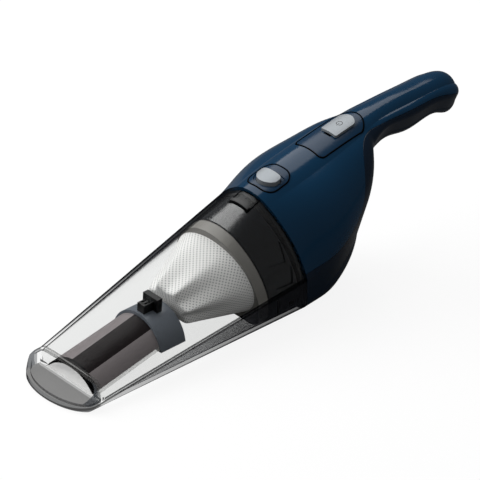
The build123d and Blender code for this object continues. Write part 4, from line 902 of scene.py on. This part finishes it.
@dataclass
class SideCatches:
    """Slot painted black as the shade of its groove, and a small catch, that hold the bowl's low
    strips near the joint.

    Sizes are in millimetres. Each is its place along and up, its width and its height.
    """

    slot: tuple[float, float, float, float] = (-21.0, 21.0, 1.7, 15.0)
    catch: tuple[float, float, float, float] = (-7.5, 20.0, 4.4, 3.4)
    cells: tuple[int, int] = (4, 12)
    outside: float = 200.0
    proud: float = 0.35
    deep: float = 0.9
    edge: float = 0.25
    edge_steps: int = 2
    edge_degrees: float = 50.0
    smooth_degrees: float = 40.0

    def build(self, paints: Paintbox) -> None:
        """Model both on each side of the bowl.

        Args:
            paints: Where their material comes from.
        """
        for side in Side:
            # The slot's black is painted shade of its groove
            for name, size in (("bowl_slot_shade", self.slot), ("bowl_catch", self.catch)):
                piece = self.patch(side, size)
                finish_piece(piece, f"{name}_{side.name.lower()}", "bowl")
                paints.paint(piece, BLACK)

    def patch(self, side: Side, size: tuple[float, float, float, float]) -> bpy.types.Object:
        """Lay one small leaning patch on the bowl's flank and give it a wall.

        Args:
            side: Flank that it lies on.
            size: Place along and up, width and height.

        Returns:
            The patch.
        """
        x, z, wide, tall = (v * MM for v in size)
        clear_selection()
        bpy.ops.mesh.primitive_grid_add(x_subdivisions=self.cells[0], y_subdivisions=self.cells[1],
                                        size=1.0)
        piece = bpy.context.object
        start = side.value * self.outside * MM
        for vertex in piece.data.vertices:
            up = vertex.co.y * tall
            vertex.co = Vector((x + vertex.co.x * wide - LEAN * up, start, z + up))
        lay_on(piece, "dust_bowl", Vector((0, -side.value, 0)), self.proud)
        inwards = (0, -side.value * self.deep * MM, 0)
        bpy.ops.object.mode_set(mode="EDIT")
        bpy.ops.mesh.select_all(action="SELECT")
        bpy.ops.mesh.extrude_region_move(TRANSFORM_OT_translate={"value": inwards})
        bpy.ops.mesh.select_all(action="SELECT")
        bpy.ops.mesh.normals_make_consistent(inside=False)
        bpy.ops.object.mode_set(mode="OBJECT")
        edge = piece.modifiers.new("edge", "BEVEL")
        edge.width = self.edge * MM
        edge.segments = self.edge_steps
        edge.limit_method = "ANGLE"
        edge.angle_limit = math.radians(self.edge_degrees)
        bpy.ops.object.modifier_apply(modifier="edge")
        bpy.ops.object.shade_smooth_by_angle(angle=math.radians(self.smooth_degrees))
        return piece


@dataclass
class PanelSeams:
    """Dark bead in the gap round each top panel: painted shade in the gap. Its radius is in
    millimetres.
    """

    panels: tuple[str, ...] = ("release_bezel", "switch_bezel")
    bead: float = 0.55
    bead_steps: int = 2
    level: float = 0.35

    def build(self, paints: Paintbox) -> None:
        """Run a bead round each panel.

        Args:
            paints: Where the bead's material comes from.
        """
        for panel in self.panels:
            piece = self.edge_of(panel)
            bpy.ops.object.convert(target="CURVE")
            piece.data.bevel_depth = self.bead * MM
            piece.data.bevel_resolution = self.bead_steps
            bpy.ops.object.convert(target="MESH")
            bpy.ops.object.shade_smooth()
            finish_piece(piece, f"{panel}_seam", "housing")
            # Black bead: painted shade in the gap
            paints.paint(piece, SEAM_SHADE)

    def edge_of(self, panel: str) -> bpy.types.Object:
        """Take the outer edge of a panel's top.

        Args:
            panel: CAD node of the panel.

        Returns:
            A closed line of edges, active and in object mode.
        """
        piece = merged_copy(panel, f"{panel}_seam")
        bpy.ops.object.mode_set(mode="EDIT")
        bpy.ops.mesh.select_mode(type="FACE")
        bpy.ops.object.mode_set(mode="OBJECT")
        for face in piece.data.polygons:
            face.select = face.normal.z < self.level
        bpy.ops.object.mode_set(mode="EDIT")
        bpy.ops.mesh.delete(type="FACE")
        bpy.ops.mesh.select_all(action="SELECT")
        bpy.ops.mesh.region_to_loop()
        bpy.ops.mesh.select_all(action="INVERT")
        bpy.ops.mesh.delete(type="EDGE_FACE")
        # Of the loops that are left, only the one that reaches furthest forward is the outer edge
        bpy.ops.mesh.select_all(action="DESELECT")
        bpy.ops.mesh.select_mode(type="VERT")
        bpy.ops.object.mode_set(mode="OBJECT")
        first = min(piece.data.vertices, key=lambda vertex: vertex.co.x)
        first.select = True
        bpy.ops.object.mode_set(mode="EDIT")
        bpy.ops.mesh.select_linked()
        bpy.ops.mesh.select_all(action="INVERT")
        bpy.ops.mesh.delete(type="VERT")
        bpy.ops.object.mode_set(mode="OBJECT")
        return piece


@dataclass
class LatchCoil:
    """Spring under the release latch.

    Its foot is in millimetres, and keep is the share of its length that is left.
    """

    foot: Point = (4.3, 0.0, 81.0)
    keep: float = 0.71
    smooth_degrees: float = 40.0

    def build(self, paints: Paintbox) -> bpy.types.Object:
        """Take the coil's own form.

        Args:
            paints: Where the wire's material comes from.

        Returns:
            The finished piece, which stands for the CAD spring.
        """
        piece = merged_copy("release_spring", "latch_coil")
        bpy.ops.object.shade_smooth_by_angle(angle=math.radians(self.smooth_degrees))
        finish_piece(piece, "latch_coil", "housing")
        paints.paint(piece, STEEL)
        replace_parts(piece, "release_spring")
        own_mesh(piece)
        return piece


@dataclass
class PowerMark:
    """Plain standby ring and bar printed on the slider. Sizes are in millimetres."""

    place: Point = (81.5, 0.0, 1000.0)
    radius: float = 2.5
    stroke: float = 0.55
    gap_degrees: float = 50.0
    points: int = 48
    bar: float = 3.0
    bar_cells: int = 6
    bar_inside: float = 0.25
    proud: float = 0.04

    def build(self, paints: Paintbox) -> bpy.types.Object:
        """Model the ring and the bar and lay them on the slider's top.

        Args:
            paints: Where the print's material comes from.

        Returns:
            The finished piece.
        """
        clear_selection()
        bpy.ops.mesh.primitive_circle_add(vertices=self.points, radius=self.radius * MM,
                                          location=(0, 0, 0))
        piece = bpy.context.object
        inner = 1 - self.stroke / self.radius
        bpy.ops.object.mode_set(mode="EDIT")
        bpy.ops.mesh.select_all(action="SELECT")
        bpy.ops.mesh.extrude_region_move()
        bpy.ops.transform.resize(value=(inner, inner, 1))
        bpy.ops.object.mode_set(mode="OBJECT")
        opening = math.radians(180 - self.gap_degrees / 2)
        for face in piece.data.polygons:
            face.select = abs(math.atan2(face.center.y, face.center.x)) > opening
        bpy.ops.object.mode_set(mode="EDIT")
        bpy.ops.mesh.select_mode(type="FACE")
        bpy.ops.mesh.delete(type="FACE")
        bpy.ops.mesh.primitive_grid_add(x_subdivisions=self.bar_cells, y_subdivisions=1, size=1.0)
        bpy.ops.transform.resize(value=(self.bar * MM, self.stroke * MM, 1))
        shift = (self.radius - self.bar * self.bar_inside) * MM
        bpy.ops.transform.translate(value=(-shift, 0, 0))
        bpy.ops.object.mode_set(mode="OBJECT")
        for vertex in piece.data.vertices:
            vertex.co += Vector(self.place) * MM
        lay_on(piece, "power_slider", Vector((0, 0, -1)), self.proud)
        finish_piece(piece, "power_mark", "slider")
        paints.paint(piece, BLACK)
        return piece


@dataclass(frozen=True)
class Lamp:
    """Soft rectangular lamp that faces a point. Sizes are in metres, power in watts."""

    name: str
    place: Point
    aim: Point
    size: tuple[float, float]
    power: float

    def hang(self) -> None:
        """Put the lamp into the scene."""
        data = bpy.data.lights.new(self.name, "AREA")
        data.shape = "RECTANGLE"
        data.size, data.size_y = self.size
        data.energy = self.power
        lamp = bpy.data.objects.new(self.name, data)
        bpy.context.scene.collection.objects.link(lamp)
        lamp.location = self.place
        facing = Vector(self.aim) - Vector(self.place)
        lamp.rotation_euler = facing.to_track_quat("-Z", "Y").to_euler()


# Middle of the picture, on the vacuum
MIDDLE: Point = (-0.01751, -0.00001, 0.05529)


@dataclass
class Studio:
    """Floor, lamps, surroundings and the camera at the photograph's place.

    Sizes are in metres, angles in degrees, and the lens and its sensor in millimetres.
    """

    turn: float = -46.542
    tilt: float = 32.027
    roll: float = 3.756
    distance: float = 2.0
    lens: float = 204.441
    sensor: float = 36.0
    reach: float = 20.0
    floor_size: float = 8.0
    floor_cells: int = 8
    floor_drop: float = 0.0005
    floor_seen: str = "#F4F4F4"
    floor_sent: str = "#505050"
    floor_glow: float = 0.88
    floor_roughness: float = 0.9
    fill: float = 0.45
    gleam: float = 0.1
    lamps: tuple[Lamp, ...] = (
        Lamp("panel_above", (0.3, 1.175, 1.25), (0.3, 1.175, 0.0), (1.8, 1.95), 25.0),
        Lamp("softbox_left", (-0.8, 1.1, 0.8), MIDDLE, (1.0, 1.0), 17.0),
    )

    def build(self) -> None:
        """Make the whole studio."""
        self.camera()
        self.floor()
        self.surroundings()
        for lamp in self.lamps:
            lamp.hang()

    def camera(self) -> None:
        """Camera at the photograph's angle, with its small roll."""
        a, e, r = (math.radians(v) for v in (self.turn, self.tilt, self.roll))
        back = Vector((math.sin(a) * math.cos(e), -math.cos(a) * math.cos(e), math.sin(e)))
        right = Vector((math.cos(a), math.sin(a), 0))
        up = back.cross(right)
        across = right * math.cos(r) + up * math.sin(r)
        upright = up * math.cos(r) - right * math.sin(r)
        data = bpy.data.cameras.new("camera")
        data.lens = self.lens
        data.sensor_width = self.sensor
        data.clip_end = self.reach
        camera = bpy.data.objects.new("camera", data)
        bpy.context.scene.collection.objects.link(camera)
        turn = Matrix((across, upright, back)).transposed().to_4x4()
        camera.matrix_world = Matrix.Translation(Vector(MIDDLE) + back * self.distance) @ turn
        bpy.context.scene.camera = camera

    def floor(self) -> None:
        """Plain floor, white to the camera with a soft shadow, and a calm grey to other light."""
        clear_selection()
        bpy.ops.mesh.primitive_grid_add(
            x_subdivisions=self.floor_cells, y_subdivisions=self.floor_cells,
            size=self.floor_size, location=(0, 0, -self.floor_drop))
        piece = bpy.context.object
        piece.name = "floor"
        bpy.ops.object.transform_apply(location=True)
        # Matt white paper: an even white that fades out behind the vacuum
        material, tree, shader = new_material("paper_white_matt")
        rays = add(tree, Kind.RAYS).outputs
        seen = add(tree, Kind.MATH, {0: rays["Is Camera Ray"], 1: rays["Is Transmission Ray"]},
                   operation="MAXIMUM").outputs[0]
        paper = add(tree, Kind.MIX, {SHARE: seen, COLOUR_A: linear(self.floor_sent),
                                     COLOUR_B: linear(self.floor_seen)}, data_type="RGBA")
        tree.links.new(paper.outputs[COLOUR_OUT], shader.inputs["Base Color"])
        shader.inputs["Roughness"].default_value = self.floor_roughness
        white = add(tree, Kind.EMISSION, {"Strength": 1.0})
        share = add(tree, Kind.MATH, {0: seen, 1: self.floor_glow}, operation="MULTIPLY")
        show(tree, add(tree, Kind.MIX_SHADER, {0: share.outputs[0], 1: shader.outputs[0],
                                               2: white.outputs[0]}))
        piece.data.materials.append(material)

    def surroundings(self) -> None:
        """White to the camera and to clear plastic, lower for light and for gloss."""
        world = bpy.data.worlds.new("studio")
        world.use_nodes = True
        tree = world.node_tree
        tree.nodes.clear()
        rays = add(tree, Kind.RAYS).outputs
        seen = add(tree, Kind.MATH, {0: rays["Is Camera Ray"], 1: rays["Is Transmission Ray"]},
                   operation="MAXIMUM").outputs[0]
        light = add(tree, Kind.RANGE, {"Value": rays["Is Glossy Ray"], "To Min": self.fill,
                                       "To Max": self.gleam})
        level = add(tree, Kind.MIX, {SHARE: seen, LOW: light.outputs[0], HIGH: 1.0})
        sky = add(tree, Kind.BACKGROUND, {"Color": (1, 1, 1, 1),
                                          "Strength": level.outputs[VALUE_OUT]})
        add(tree, Kind.WORLD, {"Surface": sky.outputs[0]})
        bpy.context.scene.world = world


def main() -> None:
    """Build and dress everything in order."""
    logging.basicConfig(level=logging.INFO, format="%(message)s")
    bpy.context.scene.view_settings.view_transform = "Standard"
    paints = Paintbox()
    CadDress().dress(paints)
    for part in (PleatedFilter(), SideCatches(), PanelSeams(), LatchCoil(), PowerMark()):
        part.build(paints)
    Studio().build()


if __name__ == "__main__":
    main()
